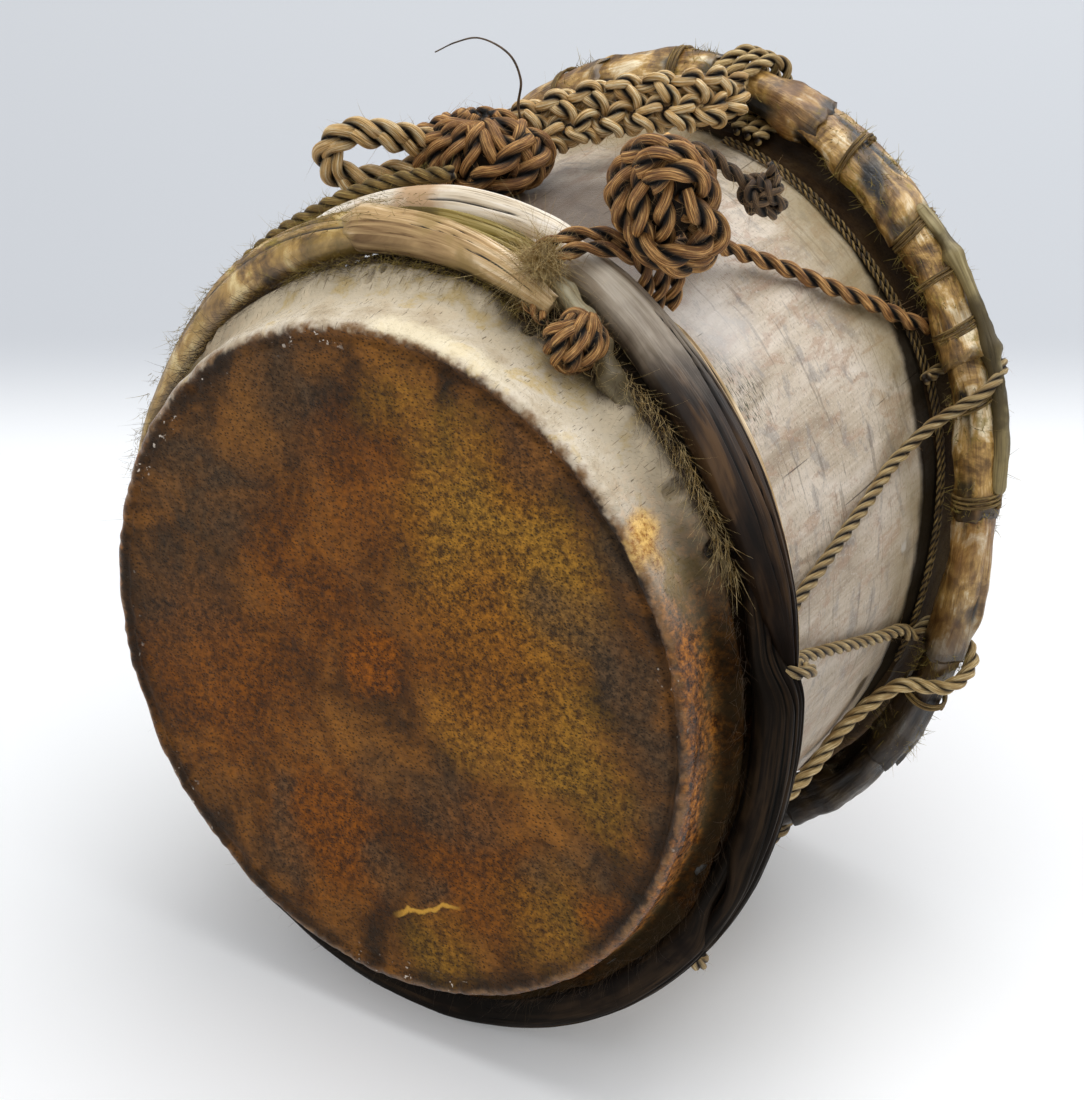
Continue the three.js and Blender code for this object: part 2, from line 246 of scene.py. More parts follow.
# ------------------------------------------------------------------ meshes
class Skin:
    """The points, faces and texture places of one piece, gathered from several closed surfaces."""

    def __init__(self):
        self.points = []
        self.faces = []
        self.spots = []
        self.depths = []
        self.count = 0
        self.fuzz = []

    def surface(self, grid, spots, depth=None, looped=False):
        """A closed surface from a grid of rows round a section, with capped ends unless its rows are looped.

        Spots has one column more than the grid, and one row more where the rows are looped.
        """
        rows, columns = grid.shape[:2]
        i, j = np.meshgrid(np.arange(rows if looped else rows - 1), np.arange(columns), indexing="ij")
        after, below = (j + 1) % columns, (i + 1) % rows
        quads = np.stack(
            (i * columns + j, i * columns + after, below * columns + after, below * columns + j), axis=-1
        ).reshape(-1, 4)
        corners = np.stack((spots[:-1, :-1], spots[:-1, 1:], spots[1:, 1:], spots[1:, :-1]),
                           axis=2).reshape(-1, 4, 2)
        flat = grid.reshape(-1, 3)
        first, last = np.arange(columns)[::-1], (rows - 1) * columns + np.arange(columns)
        if signed_volume(flat, quads) < 0:
            quads, corners = quads[:, ::-1], corners[:, ::-1]
            first, last = first[::-1], last[::-1]
        self.points.append(flat)
        self.faces.extend((quads + self.count).tolist())
        self.spots.append(corners.reshape(-1, 2))
        for cap, row in () if looped else ((first, 0), (last, rows - 1)):
            self.faces.append((cap + self.count).tolist())
            self.spots.append(np.repeat(spots[row, :1], columns, axis=0))
        self.depths.append(np.ones(len(flat)) if depth is None else np.ravel(depth))
        self.count += len(flat)

    def hairs(self, paths, thickness):
        """Three-sided tapering hairs: paths is (hair, point, 3) and thickness is each hair's radius."""
        count, rows = paths.shape[:2]
        ahead = unit(np.gradient(paths, axis=1))
        side = unit(np.cross(ahead, (0.31, 0.53, 0.79)))
        up = np.cross(ahead, side)
        taper = np.linspace(1, 0.15, rows)[None, :, None]
        reach = np.asarray(thickness).reshape(-1, 1, 1) * taper
        turns = np.radians((0, 120, 240))
        grid = np.stack([paths + reach * (math.cos(t) * side + math.sin(t) * up) for t in turns], axis=2)
        flat = grid.reshape(-1, 3)
        start = np.arange(count)[:, None, None] * rows * 3
        i, j = np.meshgrid(np.arange(rows - 1), np.arange(3), indexing="ij")
        after = (j + 1) % 3
        pattern = np.stack((i * 3 + j, i * 3 + after, (i + 1) * 3 + after, (i + 1) * 3 + j),
                           axis=-1).reshape(1, -1, 4)
        quads = (start + pattern).reshape(-1, 4) + self.count
        ends = np.array(((2, 1, 0), (rows * 3 - 3, rows * 3 - 2, rows * 3 - 1)))
        tips = (start + ends[None]).reshape(-1, 3) + self.count
        self.points.append(flat)
        self.faces.extend(quads.tolist())
        self.faces.extend(tips.tolist())
        self.spots.append(np.zeros((len(quads) * 4 + len(tips) * 3, 2)))
        self.depths.append(np.broadcast_to(np.linspace(0.3, 1, rows)[None, :, None],
                                           grid.shape[:3]).ravel())
        self.count += len(flat)

    def piece(self, name, finish, body="drum", replaces=()):
        """Makes the object, with its texture places, and says what it rides on and stands for."""
        mesh = bpy.data.meshes.new(name)
        mesh.from_pydata(np.vstack(self.points).tolist(), [], self.faces)
        lay = mesh.uv_layers.new(name="lay")
        lay.data.foreach_set("uv", np.vstack(self.spots).astype(np.float32).ravel())
        depth = mesh.attributes.new("depth", "FLOAT", "POINT")
        depth.data.foreach_set("value", np.concatenate(self.depths).astype(np.float32))
        mesh.polygons.foreach_set("use_smooth", np.ones(len(mesh.polygons), bool))
        mesh.materials.append(finish)
        made = bpy.data.objects.new(name, mesh)
        bpy.context.scene.collection.objects.link(made)
        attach(made, body)
        if replaces:
            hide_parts(*replaces)
        return made


def fuzz_piece(name, finish, body, slot, *skins):
    """The broken fibres of some ropes, as one piece of their own."""
    fuzz = Skin()
    for skin in skins:
        for paths, thickness in skin.fuzz:
            fuzz.hairs(paths, thickness)
    return fuzz.piece(name, finish, body)


def signed_volume(points, quads):
    centred = points - points.mean(axis=0)
    a, b, c, d = (centred[quads[:, k]] for k in range(4))
    return np.einsum("ij,ij->", a, np.cross(b, c)) + np.einsum("ij,ij->", a, np.cross(c, d))


def tube(skin, path, radius, sides=10, roughness=0, seed=0, axis=None):
    """A round strand along a path. Roughness is the share by which its radius wanders."""
    side, up = frames(path)
    turns = np.linspace(0, 2 * math.pi, sides + 1)
    length = distances(path)
    radius = np.broadcast_to(radius, len(path))
    spots = joined(length[:, None], turns * radius.mean())
    round_about = (np.cos(turns[:-1])[None, :, None] * side[:, None]
                   + np.sin(turns[:-1])[None, :, None] * up[:, None])
    wander = 1 + roughness * lumps(spots[:, :-1] + seed * 0.37, (0.004, 0.0012), seed)
    grid = path[:, None] + round_about * (radius[:, None] * wander)[..., None]
    depth = None
    if axis is not None:
        away = np.linalg.norm(grid - axis[:, None], axis=-1)
        depth = limited(away / away.max())
    skin.surface(grid, spots, depth)


# for each number of strands: how far a strand's middle is from the rope's middle, and half its thickness,
# both as shares of the rope's radius
STRAND_SHARES = {1: (0, 1), 2: (0.5, 0.56), 3: (0.53, 0.5), 4: (0.6, 0.42)}


def lay_rope(skin, path, radius, strands=3, pitch=None, sides=9, seed=0, shrink=None):
    """Strands twisted round a path. Shrink, a factor along it, can draw the rope out to a point."""
    side, up = frames(path)
    length = distances(path)
    pitch = pitch or radius * 9
    offset, half = STRAND_SHARES[strands]
    shrink = np.ones(len(path)) if shrink is None else shrink
    for k in range(strands):
        turn = 2 * math.pi * (length / pitch + k / strands + seed * 0.13)
        outwards = np.cos(turn)[:, None] * side + np.sin(turn)[:, None] * up
        centre = path + outwards * (offset * radius * shrink)[:, None]
        tube(skin, centre, half * radius * shrink, sides, 0.1, seed * 5 + k, axis=path)


def hair_paths(roots, heads, lengths, bend, rng, rows=6):
    """Curved hairs that set out from roots along heads and stray by bend."""
    share = np.linspace(0, 1, rows)[None, :, None]
    lengths = np.asarray(lengths).reshape(-1, 1, 1)
    stray = rng.normal(size=roots.shape) * bend
    return roots[:, None] + lengths * share * (unit(heads)[:, None] + stray[:, None] * share)


def rope_fuzz(skin, path, radius, count, rng, length=0.006, thickness=0.00007):
    """Broken fibres that stand off a rope."""
    chosen = rng.integers(1, len(path) - 1, count)
    ahead = unit(path[chosen + 1] - path[chosen - 1]) * rng.choice((-1, 1), (count, 1))
    away = unit(np.cross(ahead, rng.normal(size=(count, 3))))
    roots = path[chosen] + away * radius * 0.85
    heads = ahead * rng.uniform(0.2, 1, (count, 1)) + away * rng.uniform(0.2, 0.9, (count, 1))
    lengths = length * rng.uniform(0.4, 1.3, count)
    skin.fuzz.append((hair_paths(roots, heads, lengths, 0.5, rng),
                      thickness * rng.uniform(0.6, 1.3, count)))


# ------------------------------------------------------------------ materials
def tint(code):
    """A colour from its sRGB code, as the linear RGBA that the shaders take."""
    channels = [int(code[k:k + 2], 16) / 255 for k in (0, 2, 4)]
    return tuple(c / 12.92 if c <= 0.04045 else ((c + 0.055) / 1.055) ** 2.4 for c in channels) + (1,)


class Finish:
    """Builds one node material, step by step."""

    def __init__(self, name, roughness=0.6, specular=0.4):
        self.material = bpy.data.materials.new(name)
        self.material.use_nodes = True
        self.tree = self.material.node_tree
        self.shader = self.tree.nodes["Principled BSDF"]
        self.shader.inputs["Roughness"].default_value = roughness
        self.shader.inputs["Specular IOR Level"].default_value = specular
        self.object = self.add("ShaderNodeTexCoord").outputs["Object"]

    def add(self, kind, **settings):
        node = self.tree.nodes.new(kind)
        for key, value in settings.items():
            setattr(node, key, value)
        return node

    def put(self, value, socket):
        if isinstance(value, bpy.types.NodeSocket):
            self.tree.links.new(value, socket)
        else:
            socket.default_value = value

    def lay(self):
        """Distances along and round a strand or stalk, in metres."""
        return self.add("ShaderNodeUVMap", uv_map="lay").outputs["UV"]

    def depth(self):
        """0 deep between strands, 1 on what stands out."""
        return self.add("ShaderNodeAttribute", attribute_name="depth").outputs["Fac"]

    def stretch(self, place, scale, turn=0):
        node = self.add("ShaderNodeMapping")
        self.put(place, node.inputs["Vector"])
        node.inputs["Scale"].default_value = scale
        node.inputs["Rotation"].default_value = (0, 0, math.radians(turn))
        return node.outputs["Vector"]

    def noise(self, scale, place=None, detail=4, roughness=0.55, distortion=0):
        node = self.add("ShaderNodeTexNoise")
        self.put(self.object if place is None else place, node.inputs["Vector"])
        node.inputs["Scale"].default_value = scale
        node.inputs["Detail"].default_value = detail
        node.inputs["Roughness"].default_value = roughness
        node.inputs["Distortion"].default_value = distortion
        return node.outputs["Fac"]

    def pores(self):
        """1 in each pore of a hide and 0 between them. The pores are longer across than along."""
        node = self.add("ShaderNodeTexVoronoi")
        self.put(self.stretch(self.object, (640, 900, 1050)), node.inputs["Vector"])
        node.inputs["Scale"].default_value = 1
        return self.span(node.outputs["Distance"], 0.16, 0.4, 1, 0)

    def grain(self, along, across, turn=0, **settings):
        """Noise in the lay's own directions: bumps to the metre along and across, turned by some degrees."""
        return self.noise(1, self.stretch(self.lay(), (along, across, 1), turn), **settings)

    def maths(self, operation, a, b=0, clamp=False):
        node = self.add("ShaderNodeMath", operation=operation, use_clamp=clamp)
        self.put(a, node.inputs[0])
        self.put(b, node.inputs[1])
        return node.outputs["Value"]

    def times(self, a, b):
        return self.maths("MULTIPLY", a, b)

    def plus(self, a, b, clamp=False):
        return self.maths("ADD", a, b, clamp)

    def minus(self, a, b):
        return self.maths("SUBTRACT", a, b)

    def stronger(self, a, b):
        return self.maths("MAXIMUM", a, b)

    def blend(self, a, share_a, b, share_b):
        return self.plus(self.times(a, share_a), self.times(b, share_b))

    def span(self, value, low, high, out_low=0, out_high=1):
        """A smooth step from out_low to out_high as the value goes from low to high."""
        node = self.add("ShaderNodeMapRange", interpolation_type="SMOOTHSTEP")
        self.put(value, node.inputs["Value"])
        for key, number in zip(("From Min", "From Max", "To Min", "To Max"),
                               (low, high, out_low, out_high)):
            node.inputs[key].default_value = number
        return node.outputs["Result"]

    def ramp(self, value, stops):
        node = self.add("ShaderNodeValToRGB")
        self.put(value, node.inputs["Fac"])
        points = node.color_ramp.elements
        while len(points) < len(stops):
            points.new(0.5)
        for point, (place, code) in zip(points, stops):
            point.position = place
            point.color = tint(code)
        return node.outputs["Color"]

    def mix(self, share, a, b):
        node = self.add("ShaderNodeMix", data_type="RGBA")
        self.put(share, node.inputs[0])
        self.put(tint(a) if isinstance(a, str) else a, node.inputs[6])
        self.put(tint(b) if isinstance(b, str) else b, node.inputs[7])
        return node.outputs[2]

    def over(self, colour, tone, where, strength):
        """Lays a tone over a colour, at some strength."""
        return self.mix(self.times(where, strength), colour, tone)

    def shifted(self, amount, scale, detail=2):
        """The object's coordinates, pushed about by noise, for ragged outlines."""
        node = self.add("ShaderNodeTexNoise")
        self.put(self.object, node.inputs["Vector"])
        node.inputs["Scale"].default_value = scale
        node.inputs["Detail"].default_value = detail
        move = self.add("ShaderNodeVectorMath", operation="MULTIPLY_ADD")
        self.put(node.outputs["Color"], move.inputs[0])
        move.inputs[1].default_value = (amount,) * 3
        centre = self.add("ShaderNodeVectorMath", operation="SUBTRACT")
        self.put(self.object, centre.inputs[0])
        centre.inputs[1].default_value = (amount / 2,) * 3
        self.put(centre.outputs["Vector"], move.inputs[2])
        return move.outputs["Vector"]

    def near(self, centre, reach, soft, place=None):
        """1 within reach of a point, falling to 0 over soft."""
        node = self.add("ShaderNodeVectorMath", operation="DISTANCE")
        self.put(self.object if place is None else place, node.inputs[0])
        node.inputs[1].default_value = tuple(centre)
        return self.span(node.outputs["Value"], reach, reach + soft, 1, 0)

    def toward(self, place, centre, direction):
        """How far places lie from a centre along one direction, either way."""
        offset = self.add("ShaderNodeVectorMath", operation="SUBTRACT")
        self.put(place, offset.inputs[0])
        offset.inputs[1].default_value = tuple(centre)
        dot = self.add("ShaderNodeVectorMath", operation="DOT_PRODUCT")
        self.put(offset.outputs["Vector"], dot.inputs[0])
        dot.inputs[1].default_value = direction
        return self.maths("ABSOLUTE", dot.outputs["Value"])

    def patches(self, marks, place):
        """The strongest of several soft patches on a hide, as (angle, radius, reach, soft edge, strength)."""
        total = 0
        for angle, radius, reach, soft, strength in marks:
            patch = self.times(self.near(drum_point(angle, radius, 0), reach, soft, place), strength)
            total = self.stronger(patch, total)
        return total

    def collar_colour(self, fine, top):
        """The hide's collar: cream and yellow over the top, orange-brown and dark lower down, with painted
        shade where it runs in under the hoop.
        """
        blotch = self.noise(62, detail=5, roughness=0.65, distortion=0.3)
        upper = self.ramp(blotch, ((0.32, "b8a68a"), (0.44, "cdbea4"), (0.54, "ddd0ba"), (0.64, "d4bc8a"),
                                   (0.74, "e6ddce")))
        lower = self.ramp(fine, ((0.38, "2a1c12"), (0.5, "70421a"), (0.62, "b8742a")))
        lower = self.mix(self.span(blotch, 0.5, 0.66, 0, 0.8), lower, "3a2a1c")
        colour = self.mix(top, lower, upper)
        strokes = self.span(self.grain(1500, 240, turn=20, detail=2), 0.64, 0.68)
        colour = self.over(colour, "3a2c1e", strokes, 0.7)
        travel = self.axis("Y", self.lay())
        olive = self.times(self.span(travel, 0.122, 0.14), self.span(blotch, 0.36, 0.56))
        colour = self.over(colour, "7a6a48", olive, 0.6)
        # painted shade under the hoop, reaching further onto the collar on its lower side
        painted_low_shade = self.times(self.span(travel, 0.128, 0.137), self.minus(1, top))
        shade = self.stronger(self.span(travel, 0.136, 0.145), painted_low_shade)
        return self.mix(self.times(shade, 0.92), colour, "181009")

    def axis(self, which, place=None):
        node = self.add("ShaderNodeSeparateXYZ")
        self.put(self.object if place is None else place, node.inputs["Vector"])
        return node.outputs[which]

    def done(self, colour, roughness=None, heights=(), specular=None):
        """Sets the colour, any roughness and sheen patterns, and bumps as (height, distance in metres)."""
        self.put(colour, self.shader.inputs["Base Color"])
        if specular is not None:
            self.put(specular, self.shader.inputs["Specular IOR Level"])
        if roughness is not None:
            self.put(roughness, self.shader.inputs["Roughness"])
        normal = None
        for height, distance in heights:
            bump = self.add("ShaderNodeBump")
            bump.inputs["Distance"].default_value = distance
            self.put(height, bump.inputs["Height"])
            if normal is not None:
                self.put(normal, bump.inputs["Normal"])
            normal = bump.outputs["Normal"]
        if normal is not None:
            self.put(normal, self.shader.inputs["Normal"])
        return self.material


def rope_finish(name, deep, low, middle, high, patch, patch_share=0.5):
    """Twisted plant fibre: streaks along each strand, painted shade between the strands, pale where it is
    rubbed.
    """
    f = Finish(name, roughness=0.62, specular=0.35)
    fine = f.grain(160, 5200, turn=7, detail=3, roughness=0.6)
    broad = f.grain(90, 1500, turn=5, detail=2)
    streaks = f.blend(fine, 0.6, broad, 0.4)
    colour = f.ramp(streaks, ((0.4, low), (0.5, middle), (0.59, high)))
    area = f.span(f.noise(120, detail=3), 0.48, 0.62)
    colour = f.mix(f.times(area, patch_share), colour, patch)
    # painted shade between the strands, and over a knot's core, from the depth attribute
    shade = f.span(f.depth(), 0.5, 0.96)
    colour = f.mix(shade, deep, colour)
    return f.done(colour, f.span(streaks, 0.3, 0.7, 0.4, 0.7), ((streaks, 0.0009),))


def hair_finish(name, root, tip, speck):
    f = Finish(name, roughness=0.5, specular=0.4)
    colour = f.mix(f.depth(), root, tip)
    colour = f.mix(f.span(f.noise(300), 0.45, 0.6), colour, speck)
    return f.done(colour, f.span(f.noise(900), 0.3, 0.7, 0.4, 0.65))


def vine_finish(name, deep, low, middle, high, stain, specular=0.4, dark_below=()):
    """Split vine or cane: long fibres with painted shade in its splits and grooves, worn pale on its high
    edges.
    """
    f = Finish(name, roughness=0.5, specular=specular)
    fibres = f.grain(26, 1100, detail=5, roughness=0.6, distortion=0.5)
    broad = f.grain(14, 180, detail=4, roughness=0.6, distortion=0.3)
    both = f.blend(fibres, 0.42, broad, 0.58)
    colour = f.ramp(both, ((0.36, low), (0.49, middle), (0.62, high)))
    colour = f.mix(f.span(f.noise(38, detail=5), 0.46, 0.62), colour, stain)
    # painted shade: dark in the grooves cut in a vine, and a little on its underside
    colour = f.mix(f.span(f.depth(), 0, 0.55), deep, colour)
    splits = f.span(fibres, 0.3, 0.4)
    if dark_below:
        colour = f.mix(f.span(f.axis("Z", f.shifted(0.008, 60)), *dark_below, 1, 0), colour, deep)
    return f.done(colour, f.span(both, 0.35, 0.65, 0.62, 0.4), ((splits, 0.0002), (both, 0.0003)))


def stalk_finish():
    """A split stalk: pale grey and smooth at its upper end, brown in the middle and nearly black low down."""
    f = Finish("grey_vine", roughness=0.4, specular=0.45)
    fibres = f.grain(30, 900, detail=4, roughness=0.6, distortion=0.6)
    broad = f.grain(20, 130, detail=4, roughness=0.6, distortion=0.5)
    both = f.blend(fibres, 0.25, broad, 0.75)
    brown = f.ramp(both, ((0.38, "140d08"), (0.49, "2c1e13"), (0.6, "584028")))
    grey = f.ramp(both, ((0.36, "8c7862"), (0.48, "bcaa92"), (0.6, "e4d8c4")))
    pushed = f.shifted(0.03, 40, 4)
    height = f.axis("Z", pushed)
    colour = f.mix(f.span(height, 0.244, 0.278), brown, grey)
    colour = f.mix(f.span(height, 0.165, 0.24, 0.9, 0), colour, "120c08")
    # painted shade in the stalk's splits and grooves
    colour = f.mix(f.span(f.depth(), 0, 0.6), "060403", colour)
    sheen = f.span(height, 0.17, 0.27, 0.02, 0.45)
    return f.done(colour, f.span(both, 0.35, 0.65, 0.5, 0.3), ((fibres, 0.0002), (both, 0.0004)), sheen)


def bark_finish(name, tones, stain):
    """Bark and hide wraps: brown with a hard sheen, pale where rubbed, yellow-green with moss in patches."""
    f = Finish(name, roughness=0.34, specular=0.65)
    fibres = f.grain(60, 420, detail=5, roughness=0.65, distortion=0.8)
    broad = f.noise(60, detail=6, roughness=0.65, distortion=0.6)
    both = f.blend(fibres, 0.3, broad, 0.7)
    colour = f.ramp(both, tuple(zip((0.38, 0.47, 0.54, 0.62), tones)))
    colour = f.mix(f.times(f.span(f.noise(28, detail=4), 0.48, 0.62), 0.5), colour, stain)
    moss = f.span(f.noise(70, detail=6, roughness=0.7), 0.56, 0.66)
    upper = f.span(f.axis("Z"), 0.1, 0.24)
    colour = f.mix(f.times(moss, upper), colour, "947c2e")
    low = f.span(f.axis("Z", f.shifted(0.03, 30, 4)), 0.085, 0.155, 0.92, 0)
    colour = f.mix(low, colour, "120c08")
    # painted shade in the hollows of the bark and at the seams between its turns
    colour = f.mix(f.span(f.depth(), 0, 0.6), "0e0905", colour)
    rubbed = f.plus(f.span(both, 0.35, 0.65, 0.44, 0.24), f.times(moss, 0.3))
    return f.done(colour, rubbed, ((both, 0.0008), (fibres, 0.00025)))


FACE_OCHRE = (                                 # (angle, radius, reach, soft edge, strength) of each patch
    (50, 0.066, 0.02, 0.034, 0.9), (72, 0.084, 0.008, 0.026, 0.5), (30, 0.055, 0.014, 0.03, 0.7),
    (-4, 0.066, 0.012, 0.026, 0.7), (-12, 0.088, 0.006, 0.02, 0.5), (-9, 0.04, 0.01, 0.02, 0.6),
    (-74, 0.106, 0.004, 0.022, 0.6), (88, 0.096, 0.004, 0.02, 0.4), (-45, 0.098, 0.006, 0.024, 0.5),
)
FACE_RUST = (
    (-176, 0.005, 0.007, 0.012, 1), (100, 0.062, 0.01, 0.034, 0.5), (30, 0.04, 0.012, 0.04, 0.6),
    (-159, 0.075, 0.014, 0.04, 0.6), (-109, 0.074, 0.01, 0.034, 0.8), (150, 0.04, 0.01, 0.04, 0.5),
    (-60, 0.075, 0.012, 0.03, 0.6), (60, 0.1, 0.004, 0.02, 0.5), (-35, 0.108, 0.002, 0.012, 0.7),
    (112, 0.062, 0.006, 0.03, 0.4),
)
FACE_DARK = (
    (33, 0.08, 0.005, 0.008, 0.9), (27, 0.087, 0.006, 0.008, 0.9), (21, 0.094, 0.007, 0.009, 0.9),
    (14, 0.101, 0.007, 0.01, 0.9), (4, 0.106, 0.006, 0.012, 0.8), (-8, 0.11, 0.004, 0.012, 0.7),
    (36, 0.11, 0.002, 0.014, 0.6), (60, 0.11, 0.003, 0.018, 0.6), (-127, 0.074, 0.002, 0.007, 0.9),
    (-124, 0.08, 0.003, 0.007, 1), (-121, 0.086, 0.003, 0.008, 1), (-118, 0.092, 0.004, 0.009, 1),
    (-116, 0.099, 0.005, 0.011, 1), (-90, 0.08, 0.004, 0.012, 0.9), (-76, 0.082, 0.003, 0.01, 0.8),
    (-60, 0.044, 0.006, 0.014, 0.7), (-50, 0.06, 0.004, 0.012, 0.6), (151, 0.093, 0.01, 0.026, 0.8),
    (120, 0.098, 0.008, 0.026, 0.8), (178, 0.09, 0.01, 0.03, 0.5), (-39, 0.084, 0.003, 0.01, 0.8),
    (-30, 0.094, 0.003, 0.01, 0.7), (-95, 0.045, 0.006, 0.016, 0.6),
)


def hide_finish():
    """Hide that is stained and speckled with pores on the face and rubbed pale over the top of its collar."""
    f = Finish("batter_hide", roughness=0.52)
    pushed = f.shifted(0.03, 42, 6)
    broad = f.noise(34, detail=7, roughness=0.66, distortion=0.6)
    fine = f.noise(400, detail=5, roughness=0.75)
    colour = f.ramp(broad, ((0.38, "2c2014"), (0.48, "523416"), (0.56, "744a1e"), (0.66, "8e5c24")))
    colour = f.mix(f.patches(FACE_OCHRE, pushed), colour, f.ramp(fine, ((0.38, "4e3410"), (0.6, "b4822c"))))
    colour = f.mix(f.patches(FACE_RUST, pushed), colour, f.ramp(fine, ((0.38, "482608"), (0.62, "9c5812"))))
    dark = f.times(f.patches(FACE_DARK, pushed), f.span(broad, 0.3, 0.62, 1, 0.55))
    colour = f.mix(dark, colour, f.ramp(fine, ((0.4, "302519"), (0.62, "6c5238"))))
    speckle = f.span(f.noise(560, f.stretch(f.object, (0.62, 1, 1.25)), 3, 0.6), 0.46, 0.6)
    colour = f.mix(f.times(speckle, 0.55), colour, f.mix(0.62, colour, "1a120a"))
    pore = f.pores()
    colour = f.over(colour, "22180f", pore, 0.75)
    middle = drum_point(-78, 0.0905, 0)
    across = f.toward(pushed, middle, (-0.42, 0, 0.91))
    down = f.toward(pushed, middle, (0.91, 0, 0.42))
    scratch = f.times(f.span(across, 0.0004, 0.0016, 1, 0), f.span(down, 0.01, 0.018, 1, 0))
    colour = f.mix(scratch, colour, "c8963c")
    travel = f.axis("Y", f.lay())
    ragged = f.plus(travel, f.times(f.minus(f.noise(260, detail=4), 0.5), 0.005))
    height = f.axis("Z", pushed)
    top = f.span(height, 0.175, 0.245)
    edge = f.span(ragged, 0.109, 0.115)
    colour = f.mix(f.times(edge, f.span(f.noise(40), 0.4, 0.6, 0.2, 0.75)), colour, "241c15")
    collar = f.collar_colour(fine, top)
    foot = f.times(f.span(height, 0.03, 0.1, 0.75, 0), f.span(ragged, 0.118, 0.124, 1, 0))
    collar = f.mix(foot, collar, "2e2116")
    worn = f.times(f.span(ragged, 0.118, 0.1206, 1, 0),
                   f.span(f.noise(150, detail=5), 0.4, 0.6, 0.25, 0.95))
    collar = f.mix(worn, collar, "7c5a34")
    colour = f.mix(f.span(ragged, 0.1164, 0.1186), colour, collar)
    # amber hide on the rim's roll, brightened as a painted highlight
    amber_highlight = f.near(drum_point(38, 0.1193, 0.005), 0.004, 0.009, pushed)
    golden = f.ramp(fine, ((0.4, "a2681c"), (0.6, "f0c470")))
    colour = f.mix(f.times(amber_highlight, f.span(ragged, 0.1162, 0.1176)), colour, golden)
    # a painted highlight: a pale cream streak along the top of the rim's roll
    painted_highlight = f.times(f.near(drum_point(83, 0.119, 0.0045), 0.016, 0.016, pushed),
                     f.span(ragged, 0.1175, 0.12))
    colour = f.mix(f.times(painted_highlight, f.span(ragged, 0.122, 0.1275, 0.7, 0)), colour, "efe0bc")
    specks = f.times(f.span(f.noise(420, detail=2), 0.66, 0.69), f.span(f.noise(26), 0.54, 0.6))
    chips = f.times(specks, f.times(edge, f.span(ragged, 0.118, 0.12, 1, 0)))
    colour = f.mix(chips, colour, "c8bcae")
    rubbed = f.mix(f.span(ragged, 0.1165, 0.1185), f.span(fine, 0.35, 0.65, 0.42, 0.6),
                   f.span(fine, 0.35, 0.65, 0.24, 0.4))
    heights = ((f.noise(120, detail=4), 0.0006), (pore, -0.00012), (fine, 0.0003))
    sheen = f.times(f.span(ragged, 0.115, 0.12, 0.09, 0.4), f.span(travel, 0.124, 0.134, 1, 0))
    return f.done(colour, rubbed, heights, sheen)


def rear_hide_finish():
    """The second hide: brown and mottled, with pores, and a tan collar with painted shade where it runs under
    the rear hoop.
    """
    f = Finish("rear_hide", roughness=0.5, specular=0.2)
    broad = f.noise(30, detail=7, roughness=0.64, distortion=0.6)
    fine = f.noise(400, detail=5, roughness=0.75)
    mottle = f.blend(broad, 0.7, fine, 0.3)
    face = f.ramp(mottle, ((0.38, "2a1c10"), (0.48, "5a3a1a"), (0.56, "8a5c28"), (0.64, "a87c3c")))
    collar = f.ramp(mottle, ((0.38, "4a3420"), (0.5, "8e6c44"), (0.62, "b89a6c")))
    travel = f.axis("Y", f.lay())
    # painted shade on the collar where it runs under the rear hoop
    collar = f.mix(f.span(travel, 0.018, 0.028, 0.9, 0), collar, "1a120c")
    colour = f.mix(f.span(travel, 0.03, 0.042), collar, face)
    pore = f.pores()
    colour = f.over(colour, "22180f", pore, 0.6)
    sheen = f.span(travel, 0.018, 0.034, 0.02, 0.25)
    return f.done(colour, f.span(fine, 0.35, 0.65, 0.4, 0.58), ((broad, 0.0006), (fine, 0.0003)), sheen)


